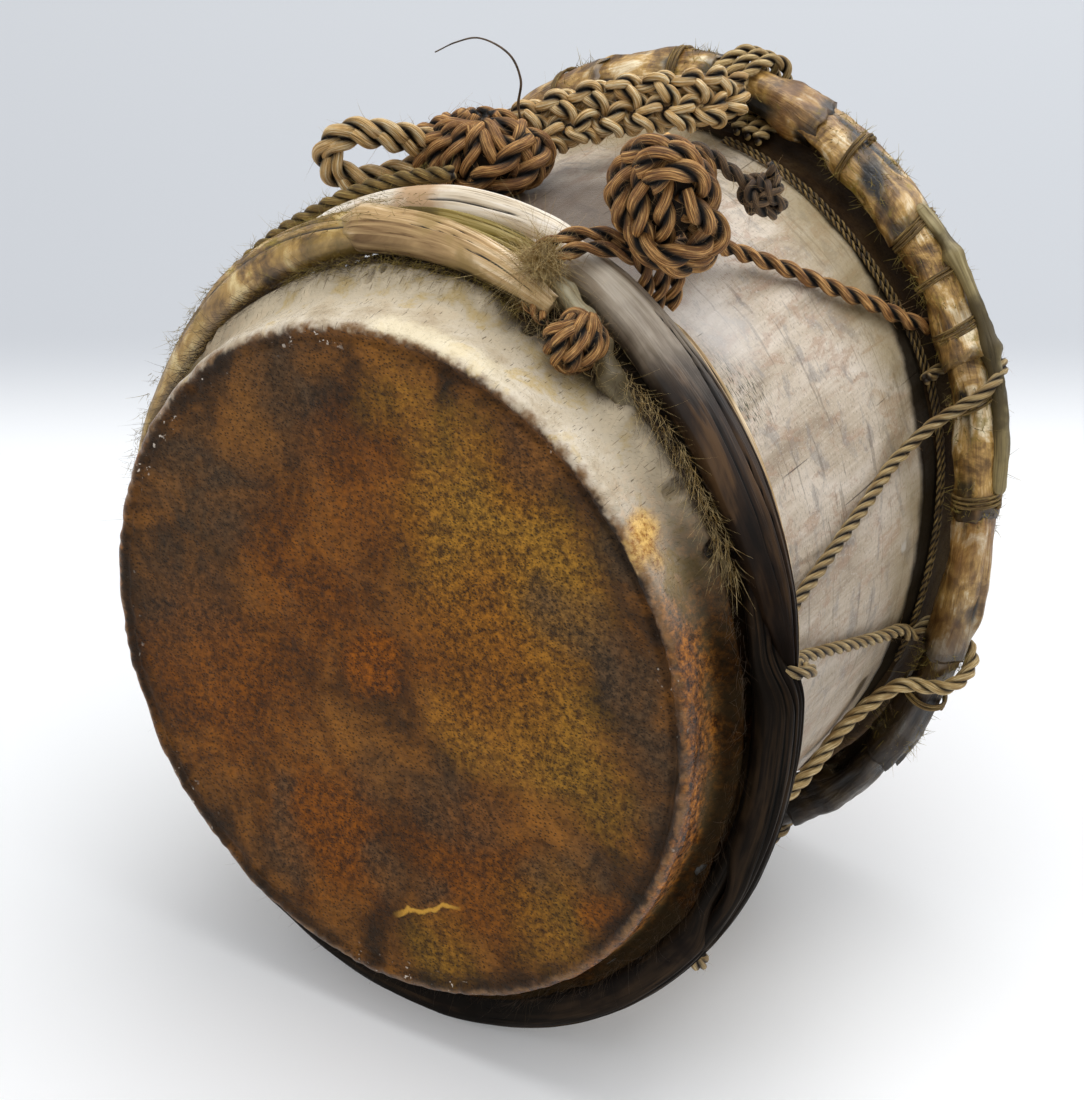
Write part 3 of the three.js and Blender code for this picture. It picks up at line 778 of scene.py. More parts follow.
def wood_finish():
    """Smooth grey-brown wood, with grain along the drum, slanting tool marks, a painted sheen, and painted
    shadow near the hoops and on its top near the strap knot.
    """
    f = Finish("log_wood", roughness=0.36, specular=0.5)
    grain = f.grain(900, 26, detail=5, roughness=0.6, distortion=0.4)
    broad = f.grain(42, 14, detail=4, roughness=0.6, distortion=0.6)
    both = f.blend(grain, 0.22, broad, 0.78)
    colour = f.ramp(both, ((0.36, "a2907a"), (0.47, "c2b29c"), (0.57, "d6c8b6"), (0.68, "e6dacb")))
    peach = f.grain(130, 60, turn=24, detail=7, roughness=0.7, distortion=0.7)
    colour = f.over(colour, "ae8c72", f.span(peach, 0.5, 0.62), 0.55)
    cool = f.grain(70, 110, turn=24, detail=6, roughness=0.65, distortion=0.5)
    colour = f.over(colour, "8a8480", f.span(cool, 0.52, 0.64), 0.55)
    scrapes = f.grain(520, 1300, turn=28, detail=4, roughness=0.7)
    colour = f.over(colour, "5e4c3c", f.span(scrapes, 0.55, 0.64), 0.5)
    crossing = f.grain(1200, 420, turn=34, detail=3, roughness=0.7)
    colour = f.over(colour, "e6ddd2", f.span(crossing, 0.56, 0.66), 0.35)
    seams = f.grain(26, 520, turn=52, detail=2, roughness=0.5, distortion=0.6)
    colour = f.over(colour, "4c3e34", f.span(seams, 0.34, 0.37, 1, 0), 0.35)
    checks = f.grain(420, 14, detail=2, roughness=0.5, distortion=0.8)
    check = f.span(checks, 0.262, 0.282, 1, 0)
    colour = f.over(colour, "2a201a", check, 0.7)
    pushed = f.shifted(0.01, 80)
    olive = f.near(drum_point(47.5, 0.119, 0.077), 0.009, 0.014, pushed)
    strokes = f.span(f.grain(300, 1800, turn=-32, detail=2), 0.52, 0.62)
    colour = f.mix(f.times(olive, strokes), colour, "4c4830")
    colour = f.mix(f.near(drum_point(6.5, 0.1198, 0.1604), 0.0016, 0.0014, pushed), colour, "d8d2c8")
    colour = f.mix(f.near(drum_point(-18.2, 0.1198, 0.1523), 0.0042, 0.0022, pushed), colour, "14100c")
    along = f.axis("Y", f.lay())
    # a painted highlight: a pale patch of sheen high on the shell
    sheen = f.near(drum_point(57, 0.12, 0.09), 0.002, 0.024, pushed)
    colour = f.over(colour, "eae4de", sheen, 0.55)
    shaded = f.near(drum_point(90, 0.12, 0.082), 0.036, 0.044, pushed)
    colour = f.over(colour, "4a3c32", shaded, 0.85)
    worn = f.times(f.span(along, 0.145, 0.178), f.span(f.noise(26, detail=5), 0.35, 0.6, 0.3, 0.9))
    colour = f.over(colour, "8c7846", worn, 0.7)
    low = f.span(f.axis("Z", pushed), 0.04, 0.22, 0.45, 0)
    colour = f.mix(low, colour, "6a563c")
    ragged = f.plus(along, f.times(f.noise(90, detail=4), 0.006))
    behind = f.minus(ragged, f.times(f.axis("Z"), 0.1))
    # painted shadow: the shell is nearly black and less glossy in the gaps next to the front hoop and the rear
    # hoop
    gap = f.plus(f.span(ragged, 0.05, 0.07, 1, 0), f.span(behind, 0.164, 0.169), True)
    colour = f.over(colour, "140e09", gap, 0.95)
    heights = ((scrapes, 0.00035), (crossing, 0.00018), (check, -0.0005))
    return f.done(colour, f.span(both, 0.35, 0.68, 0.44, 0.28), heights, f.times(f.minus(1, gap), 0.5))


# ------------------------------------------------------------------ strap and rope tail: the free ropes
STRAP_ROUTE = (                                       # from the rear hoop to the end of the loop
    (0.0137, 0.0902, 0.2784), (0.0085, 0.0702, 0.281), (-0.0049, 0.0585, 0.281),
    (-0.0199, 0.0486, 0.2784), (-0.0374, 0.0342, 0.2726), (-0.0519, 0.0195, 0.2663),
    (-0.0635, 0.0032, 0.2665), (-0.0742, -0.0103, 0.2692), (-0.0884, -0.0248, 0.2745),
)
KNOT_PLACE = np.array((-0.0519, 0.0195, 0.2663))
TAIL_ROUTE = (                                        # from inside the toggle knot to the small knot
    (0.056, -0.04, 0.3095), (0.0671, -0.0341, 0.3096), (0.078, -0.03, 0.302), (0.0871, -0.0268, 0.296),
)
TAIL_DIAMETER = 0.0052
TAIL_KNOT = np.array((0.0871, -0.0268, 0.296))
TOGGLE_PLACE = np.array((0.0591, -0.0448, 0.297))

BRAID_CORDS = 5
BRAID_HALF_WIDTH = 0.0082
BRAID_HALF_DEPTH = 0.0036
BRAID_PITCH = 0.06
BRAID_CORD = 0.0031
BRAID_TILT = -58                                      # degrees from its path's own side direction
LOOP_ROPE = 0.0038


def braid(skin, path, across, through, rng):
    """A flat plait of twisted cords: each crosses from edge to edge, over one cord and under the next."""
    length = distances(path)
    narrow = np.interp(length, (0, 0.012, length[-1] - 0.01, length[-1]), (0.45, 1, 1, 0.7))
    for k in range(BRAID_CORDS):
        phase = 2 * math.pi * (length / BRAID_PITCH + k / BRAID_CORDS)
        sway = BRAID_HALF_WIDTH * narrow * np.sin(phase)
        lift = BRAID_HALF_DEPTH * np.sin((BRAID_CORDS - 1) * phase)
        line = evenly(path + sway[:, None] * across + lift[:, None] * through, ROPE_STEP)
        lay_rope(skin, line, BRAID_CORD, strands=2, pitch=0.014, sides=9, seed=k + 1)
        rope_fuzz(skin, line, BRAID_CORD, 70, rng, 0.005)


def make_strap(rope, dark_rope, fibre):
    """The braided strap, its knot and the loop at its end."""
    rng = np.random.default_rng(11)
    plait = Skin()
    braid_path = smooth_path(STRAP_ROUTE[:6], 0.0006)
    side, up = frames(braid_path)
    turn = math.radians(BRAID_TILT)
    across = math.cos(turn) * side + math.sin(turn) * up
    through = np.cross(unit(np.gradient(braid_path, axis=0)), across)
    braid(plait, braid_path, across, through, rng)
    for shift in (0, 1):
        loop = loop_line(shift)
        lay_rope(plait, loop, LOOP_ROPE, strands=2, pitch=0.018, sides=11, seed=7 + shift)
        rope_fuzz(plait, loop, 0.0034, 80, rng, 0.005)
    strap = plait.piece("strap_plait", rope, "strap", ("strap_braid", "strap_loop"))
    knot, knot_skin = make_strap_knot(dark_rope, rng)
    fuzz = fuzz_piece("strap_fibres", fibre, "strap", "lace_rope", plait, knot_skin)


def loop_line(shift):
    """One of the two ropes of the end loop, which run side by side."""
    middle = np.array((
        (-0.053, 0.013, 0.27), (-0.0609, 0.0022, 0.2745), (-0.0699, -0.0108, 0.28),
        (-0.0819, -0.0208, 0.2815), (-0.0889, -0.0248, 0.2735), (-0.0859, -0.0238, 0.2645),
        (-0.0769, -0.0178, 0.26), (-0.0639, 0, 0.26), (-0.054, 0.012, 0.2625),
    ))
    centre = np.array((-0.079, -0.016, 0.27))
    inwards = middle - centre
    line = centre + inwards * (1 - 0.34 * shift) + shift * np.array((0, -0.002, 0.001))
    return smooth_path(line, ROPE_STEP)


def around_knot(centre, radii, turn, rise):
    """A place on a knot's outside: turn goes right from the camera's side and rise goes up from the level."""
    turn, rise = np.radians(turn), np.radians(rise)
    right = np.cos(rise) * np.sin(turn) * radii[0]
    front = np.cos(rise) * np.cos(turn) * radii[1]
    up = np.sin(rise) * radii[2]
    return centre + right[..., None] * TO_RIGHT + front[..., None] * TO_CAMERA + up[..., None] * UPWARDS


def knot_strand(skin, centre, radii, marks, radius, seed, rng, strands=2, pitch=0.016, fuzz=40):
    """A rope over a knot, through (turn, rise, lift) marks. Lift is in metres, beyond the knot's size."""
    marks = np.array(marks, float)
    base = around_knot(centre, radii, marks[:, 0], marks[:, 1])
    line = smooth_path(base + unit(base - centre) * marks[:, 2:3], ROPE_STEP)
    lay_rope(skin, line, radius, strands, pitch, sides=11, seed=seed)
    rope_fuzz(skin, line, radius, fuzz, rng, 0.005)


def knot_strands(skin, centre, radii, table, radius, seed, rng, **settings):
    for k, marks in enumerate(table):
        knot_strand(skin, centre, radii, marks, radius, seed + k, rng, **settings)


def knot_core(skin, centre, radii, seed):
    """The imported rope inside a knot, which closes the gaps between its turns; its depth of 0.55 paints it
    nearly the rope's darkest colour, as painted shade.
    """
    rise = np.radians(np.linspace(-88, 88, 30))
    turn = np.linspace(0, 2 * math.pi, 41)
    level = np.cos(rise)[:, None]
    ring = joined(level * np.cos(turn), level * np.sin(turn), np.sin(rise)[:, None])[:, :-1]
    grid = centre + ring * radii
    grid = centre + (grid - centre) * (1 + 0.06 * lumps(grid, 0.004, seed))[..., None]
    spots = joined(rise[:, None] * radii[2], turn * radii[0])
    skin.surface(grid, spots, np.full(grid.shape[:2], 0.55))


def make_strap_knot(dark_rope, rng):
    """Parallel turns on its left and thick crossing loops on its right."""
    skin = Skin()
    centre = KNOT_PLACE + np.array((0.003, -0.005, 0.0012))
    knot_core(skin, centre, (0.02, 0.0145, 0.0125), 3)
    radii = (0.0225, 0.015, 0.0138)
    for k, turn in enumerate((-62, -44, -26, -8)):
        marks = [(turn - 4, -78, 0), (turn - 2, -35, 0.0005), (turn, 5, 0.001), (turn + 3, 42, 0.0005),
                 (turn + 9, 80, 0)]
        knot_strand(skin, centre, radii, marks, 0.0034, 20 + k, rng, pitch=0.019)
    crossing = (
        [(-12, 62, 0), (8, 30, 0.0015), (26, 2, 0.002), (40, -28, 0.001), (52, -60, -0.001)],
        [(4, 66, 0), (24, 36, 0.0015), (44, 8, 0.002), (60, -22, 0.001), (70, -55, -0.001)],
        [(-14, -60, 0.001), (6, -30, 0.0045), (28, -8, 0.0055), (52, 10, 0.004), (76, 26, 0)],
        [(-22, -36, 0), (0, -8, 0.0035), (20, 16, 0.0055), (44, 36, 0.004), (70, 50, 0)],
        [(30, 70, 0), (62, 34, 0.002), (82, 2, 0.002), (88, -34, 0), (80, -66, -0.001)],
    )
    knot_strands(skin, centre, radii, crossing, 0.0038, 30, rng, pitch=0.024)
    for k, turn in enumerate((120, 150, 180, 210, 240)):
        marks = [(turn, -80, 0), (turn + 6, -30, 0.001), (turn + 12, 20, 0.001), (turn + 18, 75, 0)]
        knot_strand(skin, centre, radii, marks, 0.0032, 40 + k, rng)
    return skin.piece("strap_stopper_knot", dark_rope, "strap", ("strap_knot",)), skin


def make_tail(dark_rope, fibre):
    """The rope tail of the toggle knot, with a small knot on its end."""
    rng = np.random.default_rng(12)
    tail = Skin()
    path = smooth_path(TAIL_ROUTE, 0.0008)
    lay_rope(tail, path, TAIL_DIAMETER / 2, strands=2, pitch=0.013, sides=11, seed=2)
    rope_fuzz(tail, path, TAIL_DIAMETER / 2, 60, rng, 0.005)
    cord = tail.piece("toggle_tail", dark_rope, "pigtail", ("pigtail_cord",))
    knot = Skin()
    centre, radii = TAIL_KNOT, (0.0058, 0.0052, 0.0062)
    knot_core(knot, centre, (0.0055, 0.005, 0.0058), 5)
    wraps = (
        [(-70, -60, 0), (-40, -20, 0.001), (0, 10, 0.0015), (50, 36, 0.001), (95, 60, 0)],
        [(-80, 40, 0), (-40, 10, 0.0012), (0, -22, 0.002), (45, -44, 0.001), (90, -60, 0)],
        [(-20, 80, 0), (-5, 45, 0.001), (25, 5, 0.002), (62, -20, 0.001), (110, -40, 0)],
        [(120, 60, 0), (150, 20, 0.001), (180, -10, 0.001), (220, -40, 0)],
        [(200, 60, 0), (230, 20, 0.001), (260, -10, 0.001), (285, -50, 0)],
    )
    knot_strands(knot, centre, radii, wraps, 0.0022, 50, rng, pitch=0.012, fuzz=30)
    stub = smooth_path(centre + np.array(((0.001, 0, 0.004), (0.002, 0.001, 0.0075),
                                          (0.0018, 0.0012, 0.0105))), 0.0008)
    lay_rope(knot, stub, 0.0021, strands=2, pitch=0.01, sides=9, seed=4)
    rope_fuzz(knot, stub, 0.0021, 30, rng, 0.003)
    end = knot.piece("toggle_tail_knot", dark_rope, "pigtail", ("pigtail_knot",))
    fuzz = fuzz_piece("toggle_tail_fibres", fibre, "pigtail", "dark_rope", tail, knot)


# ------------------------------------------------------------------ shell and heads
SHELL_PROFILE = (
    (0.104, 0.0035), (0.113, 0.0035), (0.1176, 0.0075), (0.1188, 0.046), (0.1198, 0.062), (0.12, 0.13),
    (0.1196, 0.186), (0.1174, 0.212), (0.113, 0.2172), (0.104, 0.2172),
)
ARC_RADIUS = 0.12                                     # texture places round the drum are arcs at this radius
COLUMNS_ROUND = 700                                   # points round the shell and the heads


def turned(skin, profile, relief, looped=False):
    """A (radius, along) profile turned round the drum. Relief gives how far it stands out, in metres."""
    profile = np.array(profile, float)
    travel = distances(profile)
    ahead = unit(np.gradient(profile, axis=0))
    angles = np.linspace(-90, 270, COLUMNS_ROUND + 1)
    shown = profile[:-1] if looped else profile
    radius, along = shown[:, :1], shown[:, 1:]
    height = relief(angles[None, :-1], radius, along)
    radius, along = radius + ahead[:len(shown), 1:] * height, along - ahead[:len(shown), :1] * height
    grid = drum_point(angles[None, :-1], radius, along)
    spots = joined(np.radians(angles) * ARC_RADIUS, travel[:, None])
    skin.surface(grid, spots, looped=looped)


def arc_places(angle, along):
    """Places on the drum's side laid flat."""
    return joined(np.radians(angle) * ARC_RADIUS, along)


def shell_relief(angle, radius, along):
    """Soft flats left by the adze, low waves, and a few long checks in the wood."""
    places = arc_places(angle, along)
    flats = np.abs(lumps(places, (0.016, 0.045), 1)) - 0.5
    height = 0.0009 * flats + 0.0006 * lumps(places, (0.05, 0.09), 2)
    height = height + 0.00016 * lumps(places, (0.0035, 0.03), 3)
    for where, start, end in ((62, 0.07, 0.128), (20, 0.06, 0.12), (-26, 0.12, 0.18), (118, 0.08, 0.17)):
        drift = where - 90 * (along - start) + 0.5 * waver(along, 0.012, 4)
        height = height - 0.0006 * bell(angle, drift, 0.35) * (along > start) * (along < end)
    return height * (radius > 0.11)


def make_shell(wood):
    rows = []
    for (r0, a0), (r1, a1) in zip(SHELL_PROFILE, SHELL_PROFILE[1:]):
        steps = max(1, round(abs(a1 - a0) / 0.0016))
        rows += [(r0 + (r1 - r0) * k / steps, a0 + (a1 - a0) * k / steps) for k in range(steps)]
    rows += [SHELL_PROFILE[-1], SHELL_PROFILE[0]]
    skin = Skin()
    turned(skin, rows, shell_relief, looped=True)
    skin.piece("log_shell", wood, replaces=("shell",))


HIDE_HOLES = (                                        # angle, along and radius of the holes in the collar
    (79, 0.0285, 0.0026), (74.2, 0.0236, 0.0022), (103.4, 0.0195, 0.0016), (101.5, 0.0215, 0.0012),
    (96.2, 0.0248, 0.0018), (99, 0.0255, 0.0007), (41.2, 0.0206, 0.0026), (30.8, 0.0235, 0.003),
    (-20, 0.023, 0.0026), (140, 0.022, 0.0022), (-60, 0.024, 0.0024), (190, 0.023, 0.0024),
)


def batter_relief(angle, radius, along):
    """The membrane's unevenness, the crease and worn roll at its rim, and punched holes in the collar."""
    x, z = radius * np.cos(np.radians(angle)), radius * np.sin(np.radians(angle))
    flat = joined(x, z)
    arc = np.radians(angle) * ARC_RADIUS
    face = limited((0.1135 - radius) / 0.004) * (along < 0.002)
    height = face * (0.0007 * lumps(flat, 0.055, 5) + 0.00022 * lumps(flat, 0.012, 6)
                     + 0.0001 * lumps(flat, 0.004, 7))
    height = height - face * 0.001 * bell(radius, 0.02, 0.05)
    side = 0.35 + 0.65 * bell((angle + 90) % 360 - 90, 5, 55)
    rim = bell(radius, 0.115, 0.0013) * (along < 0.002)
    height = height - 0.0016 * rim * side
    height = height + 0.001 * side * bell(np.hypot(radius - 0.119, along - 0.0015), 0, 0.003)
    roll = bell(along, 0, 0.006) * (radius > 0.1132)
    ragged = joined(arc, along * 0.5)
    height = height + roll * (0.0005 * lumps(ragged, 0.009, 8) + 0.00035 * lumps(ragged, 0.0028, 9))
    scallop = limited(1 - np.abs(angle - 47) / 24) ** 0.5
    height = height + roll * scallop * 0.0005 * lumps(ragged, (0.0016, 0.006), 10)
    collar = (along > 0.004) * (radius > 0.118)
    places = arc_places(angle, along)
    height = height + collar * (0.0006 * lumps(places, (0.02, 0.012), 11)
                                + 0.00022 * lumps(places, (0.005, 0.004), 12))
    height = height + (collar * 0.0024 * limited((along - 0.016) / 0.012)
                       * (0.5 + 0.5 * lumps(places, (0.012, 0.1), 13)))
    low = limited((-8 - angle) / 16) * limited((angle + 172) / 16)
    low = np.maximum(low, limited((angle - 188) / 16))
    height = height + collar * low * 0.0048 * limited((along - 0.018) / 0.008)
    shown = limited((angle - 54) / 5) * limited((82 - angle) / 5)
    height = height + collar * 0.0058 * (1 - shown) * (1 - 0.7 * low) * bell(along, 0.0225, 0.0052)
    for hole_angle, hole_along, size in HIDE_HOLES:
        away = np.hypot(np.radians(angle - hole_angle) * radius, along - hole_along)
        height = height - collar * (0.003 * limited(1.15 - away / size) ** 0.5
                                    - 0.0005 * bell(away, size * 1.5, size * 0.4))
    return height


def head_profile():
    """The outside of a hide from its middle to the edge of its collar, then back along the inside."""
    face = [(r, 0) for r in np.concatenate(((0.0005,), np.arange(0.003, 0.108, 0.0022),
                                            np.arange(0.108, 0.1165, 0.0005)))]
    rim = [(0.1168 + 0.0036 * math.sin(t), 0.0048 - 0.0048 * math.cos(t))
           for t in np.linspace(0.1, math.pi / 2, 12)]
    collar = [(0.1204 + 0.0011 * min(1, a / 0.02), a) for a in np.arange(0.0056, 0.0452, 0.0007)]
    inside = [(0.1197, 0.045), (0.1189, 0.012), (0.118, 0.0054), (0.114, 0.0022), (0.06, 0.0022),
              (0.0005, 0.0022)]
    return face + rim + collar + inside


def make_batter(hide):
    skin = Skin()
    profile = head_profile()
    outside = len(profile) - 6

    def relief(angle, radius, along):
        height = batter_relief(angle, radius, along)
        height[outside:] = 0
        return height

    turned(skin, profile, relief)
    skin.piece("batter_hide", hide, replaces=("batter_head",))


def make_rear_head(hide):
    """The second hide, with an uneven collar that ends in front of the rear hoop."""
    face = [(r, 0.2215) for r in np.concatenate((np.arange(0.117, 0.003, -0.0025), (0.0005,)))]
    rim = [(0.1188 + 0.0112 * math.sin(t), 0.2125 + 0.009 * math.cos(t))
           for t in np.linspace(math.pi / 2, 0.1, 14)]
    collar = [(0.1208 + 0.0092 * bell(a, 0.2125, 0.0085), a) for a in np.arange(0.186, 0.212, 0.0009)]
    inside = [(0.0005, 0.2188), (0.06, 0.2188), (0.1146, 0.218), (0.1178, 0.213), (0.12, 0.1862)]
    profile = collar + rim + face + inside
    outside = len(collar) + len(rim) + len(face)

    def relief(angle, radius, along):
        x, z = radius * np.cos(np.radians(angle)), radius * np.sin(np.radians(angle))
        flat = joined(x, z)
        places = arc_places(angle, along)
        face_height = 0.0007 * lumps(flat, 0.045, 15) + 0.0002 * lumps(flat, 0.009, 16)
        side_height = (0.0006 * lumps(places, (0.018, 0.012), 17)
                       + 0.0003 * lumps(places, (0.005, 0.003), 18))
        height = np.where(along > 0.2195, face_height, side_height)
        height[outside:] = 0
        return height

    skin = Skin()
    turned(skin, profile, relief)
    skin.piece("rear_hide", hide, replaces=("rear_head",))


def stick(skin, marks, radius, seed, knobs=(), sides=14):
    """A bent, barked stick through (angle, radius, along) marks, with knobs at some distances along it."""
    marks = np.array(marks, float)
    path = smooth_path(drum_point(marks[:, 0], marks[:, 1], marks[:, 2]), 0.0014)
    length = distances(path)
    girth = radius * (1 + 0.1 * waver(length, 0.018, seed))
    for knob in knobs:
        girth = girth + radius * 0.45 * bell(length, knob, 0.0035)
    girth = girth * limited(0.55 + length / 0.004) * limited(0.55 + (length[-1] - length) / 0.004)
    tube(skin, path, girth, sides, roughness=0.16, seed=seed)


def ring_marks(start, end, radius, along):
    """Marks about six degrees apart round the drum."""
    count = round(abs(end - start) / 6) + 1
    return [(angle, radius, along) for angle in np.linspace(start, end, count)]


def make_flesh_hoops(pale_stick):
    front = Skin()
    shown = [(76, 0.1335, 0.033), (71, 0.1325, 0.0308), (66, 0.1308, 0.0285), (61, 0.128, 0.0258),
             (56, 0.125, 0.0242), (46, 0.1235, 0.0245)]
    marks = shown + ring_marks(38, -262, 0.1224, 0.0245)
    stick(front, marks, FLESH_STICK, seed=3, knobs=(0.008, 0.021, 0.031, 0.043))
    front.piece("front_flesh_stick", pale_stick, replaces=("front_flesh_hoop",))
    rear = Skin()
    stick(rear, ring_marks(-87, 267, 0.1252, 0.215), FLESH_STICK, seed=4, knobs=(0.05, 0.21, 0.36))
    rear.piece("rear_flesh_stick", pale_stick, replaces=("rear_flesh_hoop",))


# ------------------------------------------------------------------ front counter hoop
VINE_STEP = 0.5                                       # degrees between the rows of points along a vine
VINE_RADIUS = 0.14                                    # vines are textured by their arcs at this radius
VINE_TEXTURE_WIDTH = 0.0105


def eased(angle, places, values):
    """Values along a vine, with their corners rounded off."""
    sharp = np.interp(angle[:, 0], places, values)
    padded = np.pad(sharp, 4, mode="edge")
    return np.convolve(padded, np.ones(9) / 9, mode="valid")[:, None]


def vine_length(skin, keys, grooves, seed, ragged=0.6, ridge=0.00016, crown=0.35, waves=0.0004,
                top_columns=48):
    """A split vine length bent round the drum.

    Keys are (angle, half width, along, inside radius, outside radius) down its length. Grooves are (side,
    width, depth, from angle, to angle), with side from -1 at its front edge to 1 at its rear edge.
    """
    keys = np.array(keys, float)
    angle = np.arange(keys[0, 0], keys[-1, 0] + VINE_STEP / 2, VINE_STEP)[:, None]
    half, along, inside, outside = (eased(angle, keys[:, 0], keys[:, k]) for k in range(1, 5))
    top = np.sin(np.linspace(-math.pi / 2, math.pi / 2, top_columns))
    under = np.sin(np.linspace(math.pi / 2, -math.pi / 2, 18))[1:-1]
    side = np.concatenate((top, under))[None, :]
    is_top = np.concatenate((np.ones(len(top)), np.zeros(len(under))))[None, :]
    bulge = (1 - np.abs(side) ** 5) ** 0.5
    thick = (outside - inside) / 2
    rise = np.where(is_top > 0, 1 - crown * side ** 2, -1) * bulge
    places = joined(side * half, np.radians(angle) * VINE_RADIUS)
    cut = np.zeros(places.shape[:2])
    for groove_side, width, depth, start, end in grooves:
        fade = limited((angle - start) / 4) * limited((end - angle) / 4)
        drift = groove_side + 0.1 * waver(angle, 14, seed + round(50 * groove_side))
        cut = cut + depth * bell(side, drift, width) * fade
    fine = ridge * (lumps(places, (0.0011, 0.03), seed) + 0.6 * lumps(places, (0.0006, 0.012), seed + 1))
    coarse = waves * lumps(places, (0.004, 0.05), seed + 2)
    radius = (inside + outside) / 2 + thick * rise + is_top * (fine + coarse - cut)
    reach = np.minimum(angle - keys[0, 0], keys[-1, 0] - angle)
    section = np.concatenate((side, rise[:1] * 0.3)).T
    torn = ragged * limited(1 - reach / 3) * lumps(section, 0.25, seed + 3)[None, :]
    wander = 1 + 0.05 * waver(angle, 9, seed + 4)
    grid = drum_point(angle + torn, radius, along + side * half * wander)
    grid[..., 2] = np.maximum(grid[..., 2], 0.0002)
    tiny_steps = np.arange(side.shape[1] + 1)[None, :] * 1e-5
    round_about = np.concatenate((side, side[:, :1]), axis=1) * VINE_TEXTURE_WIDTH + tiny_steps
    spots = joined(np.radians(angle) * VINE_RADIUS, round_about + seed * 0.05)
    depth = limited(1 - cut / 0.0006) * np.where(is_top > 0, 1, 0.4) + np.zeros(places.shape[:2])
    skin.surface(grid, spots, depth)


def stalk_keys(start, end, start_inner):
    """A plain length with thinned ends. The far one keeps its inner half, to lie under the next length."""
    middle = (FRONT_INSIDE + FRONT_OUTSIDE) / 2
    first = (FRONT_INSIDE, middle) if start_inner else (middle, FRONT_OUTSIDE)
    last = (FRONT_INSIDE, middle)
    along = FRONT_ALONG
    return [
        (start, FRONT_HALF * 0.5, along, *first), (start + 3, FRONT_HALF * 0.8, along, *first),
        (start + 12, FRONT_HALF, along, *first),
        (start + 17, FRONT_HALF, along, FRONT_INSIDE, FRONT_OUTSIDE),
        (end - 17, FRONT_HALF, along, FRONT_INSIDE, FRONT_OUTSIDE),
        (end - 12, FRONT_HALF, along, *last), (end - 3, FRONT_HALF * 0.8, along, *last),
        (end, FRONT_HALF * 0.5, along, *last),
    ]


def make_front_hoop(dark_vine, grey_vine, mossy_bark, lath_vines):
    right = [
        (6, 0.0016, 0.044, 0.133, 0.1365), (11, 0.0046, 0.042, 0.1315, 0.1385),
        (20, 0.0084, 0.0392, 0.1285, 0.1412), (34, 0.0098, 0.0382, 0.1275, 0.1425),
        (56, 0.0094, 0.0398, 0.1275, 0.1425), (68, 0.0086, 0.0428, 0.128, 0.1422),
        (78, 0.0076, 0.0458, 0.128, 0.1405), (86, 0.0066, 0.047, 0.128, 0.135),
        (90, 0.0046, 0.047, 0.1285, 0.133),
    ]
    splits = [(-0.05, 0.04, 0.0034, 6, 62), (0.36, 0.042, 0.0036, 6, 60), (0.7, 0.03, 0.0018, 14, 52),
              (-0.5, 0.03, 0.0012, 20, 48)]
    skin = Skin()
    vine_length(skin, right, splits, 21, ridge=0.00008, waves=0.00022, crown=0.45, top_columns=72)
    skin.piece("hoop_stalk_right", grey_vine, replaces=("front_hoop_stalk_right",))
    lengths = (                                       # name, start, end, whether its start is inner, seed
        ("hoop_stalk_lower", -33, 25, False, 31),
        ("hoop_stalk_bottom", -131, -14, False, 41),
        ("hoop_stalk_left", -195, -116, True, 51),
    )
    for name, start, end, start_inner, seed in lengths:
        skin = Skin()
        grooves = [(side, 0.045, depth, start, end) for side, depth in
                   ((-0.55, 0.001), (-0.22, 0.0018), (0.1, 0.0011), (0.38, 0.002), (0.7, 0.001))]
        vine_length(skin, stalk_keys(start, end, start_inner), grooves, seed)
        skin.piece(name, dark_vine, replaces=(f"front_{name}",))
    upper_left = [
        (-256, 0.006, 0.0375, 0.1275, 0.1375), (-250, 0.009, 0.0378, 0.127, 0.1395),
        (-243, 0.0108, 0.0375, 0.1265, 0.142), (-230, 0.0115, 0.037, 0.1265, 0.1435),
        (-205, 0.0112, 0.037, 0.127, 0.1432), (-197, 0.0105, 0.037, 0.134, 0.1425),
        (-184, 0.0084, 0.037, 0.1347, 0.142), (-181, 0.0052, 0.037, 0.1347, 0.1415),
    ]
    skin = Skin()
    seams = [(-0.62, 0.05, 0.0014, -256, -181), (-0.2, 0.04, 0.0022, -250, -190),
             (0.22, 0.05, 0.0016, -256, -181), (0.6, 0.04, 0.002, -240, -181)]
    vine_length(skin, upper_left, seams, 61, ridge=0.0003, waves=0.0009)
    skin.piece("hoop_stalk_upper_left", mossy_bark, replaces=("front_hoop_stalk_upper_left",))
    make_laths(*lath_vines)
    strip = Skin()
    vine_length(
        strip,
        [(-4, 0.001, 0.049, 0.128, 0.132), (6, 0.0022, 0.05, 0.1275, 0.1338),
         (16, 0.0026, 0.051, 0.1275, 0.1345), (40, 0.003, 0.0515, 0.1285, 0.137),
         (58, 0.0022, 0.0535, 0.129, 0.137), (64, 0.001, 0.0545, 0.129, 0.133)],
        [(0.1, 0.15, 0.001, 8, 60)], 71, ragged=2, ridge=0.0005, waves=0.0012, top_columns=24,
    )
    strip.piece("hoop_edge_strip", lath_vines[1], replaces=("front_hoop_edge_strip",))


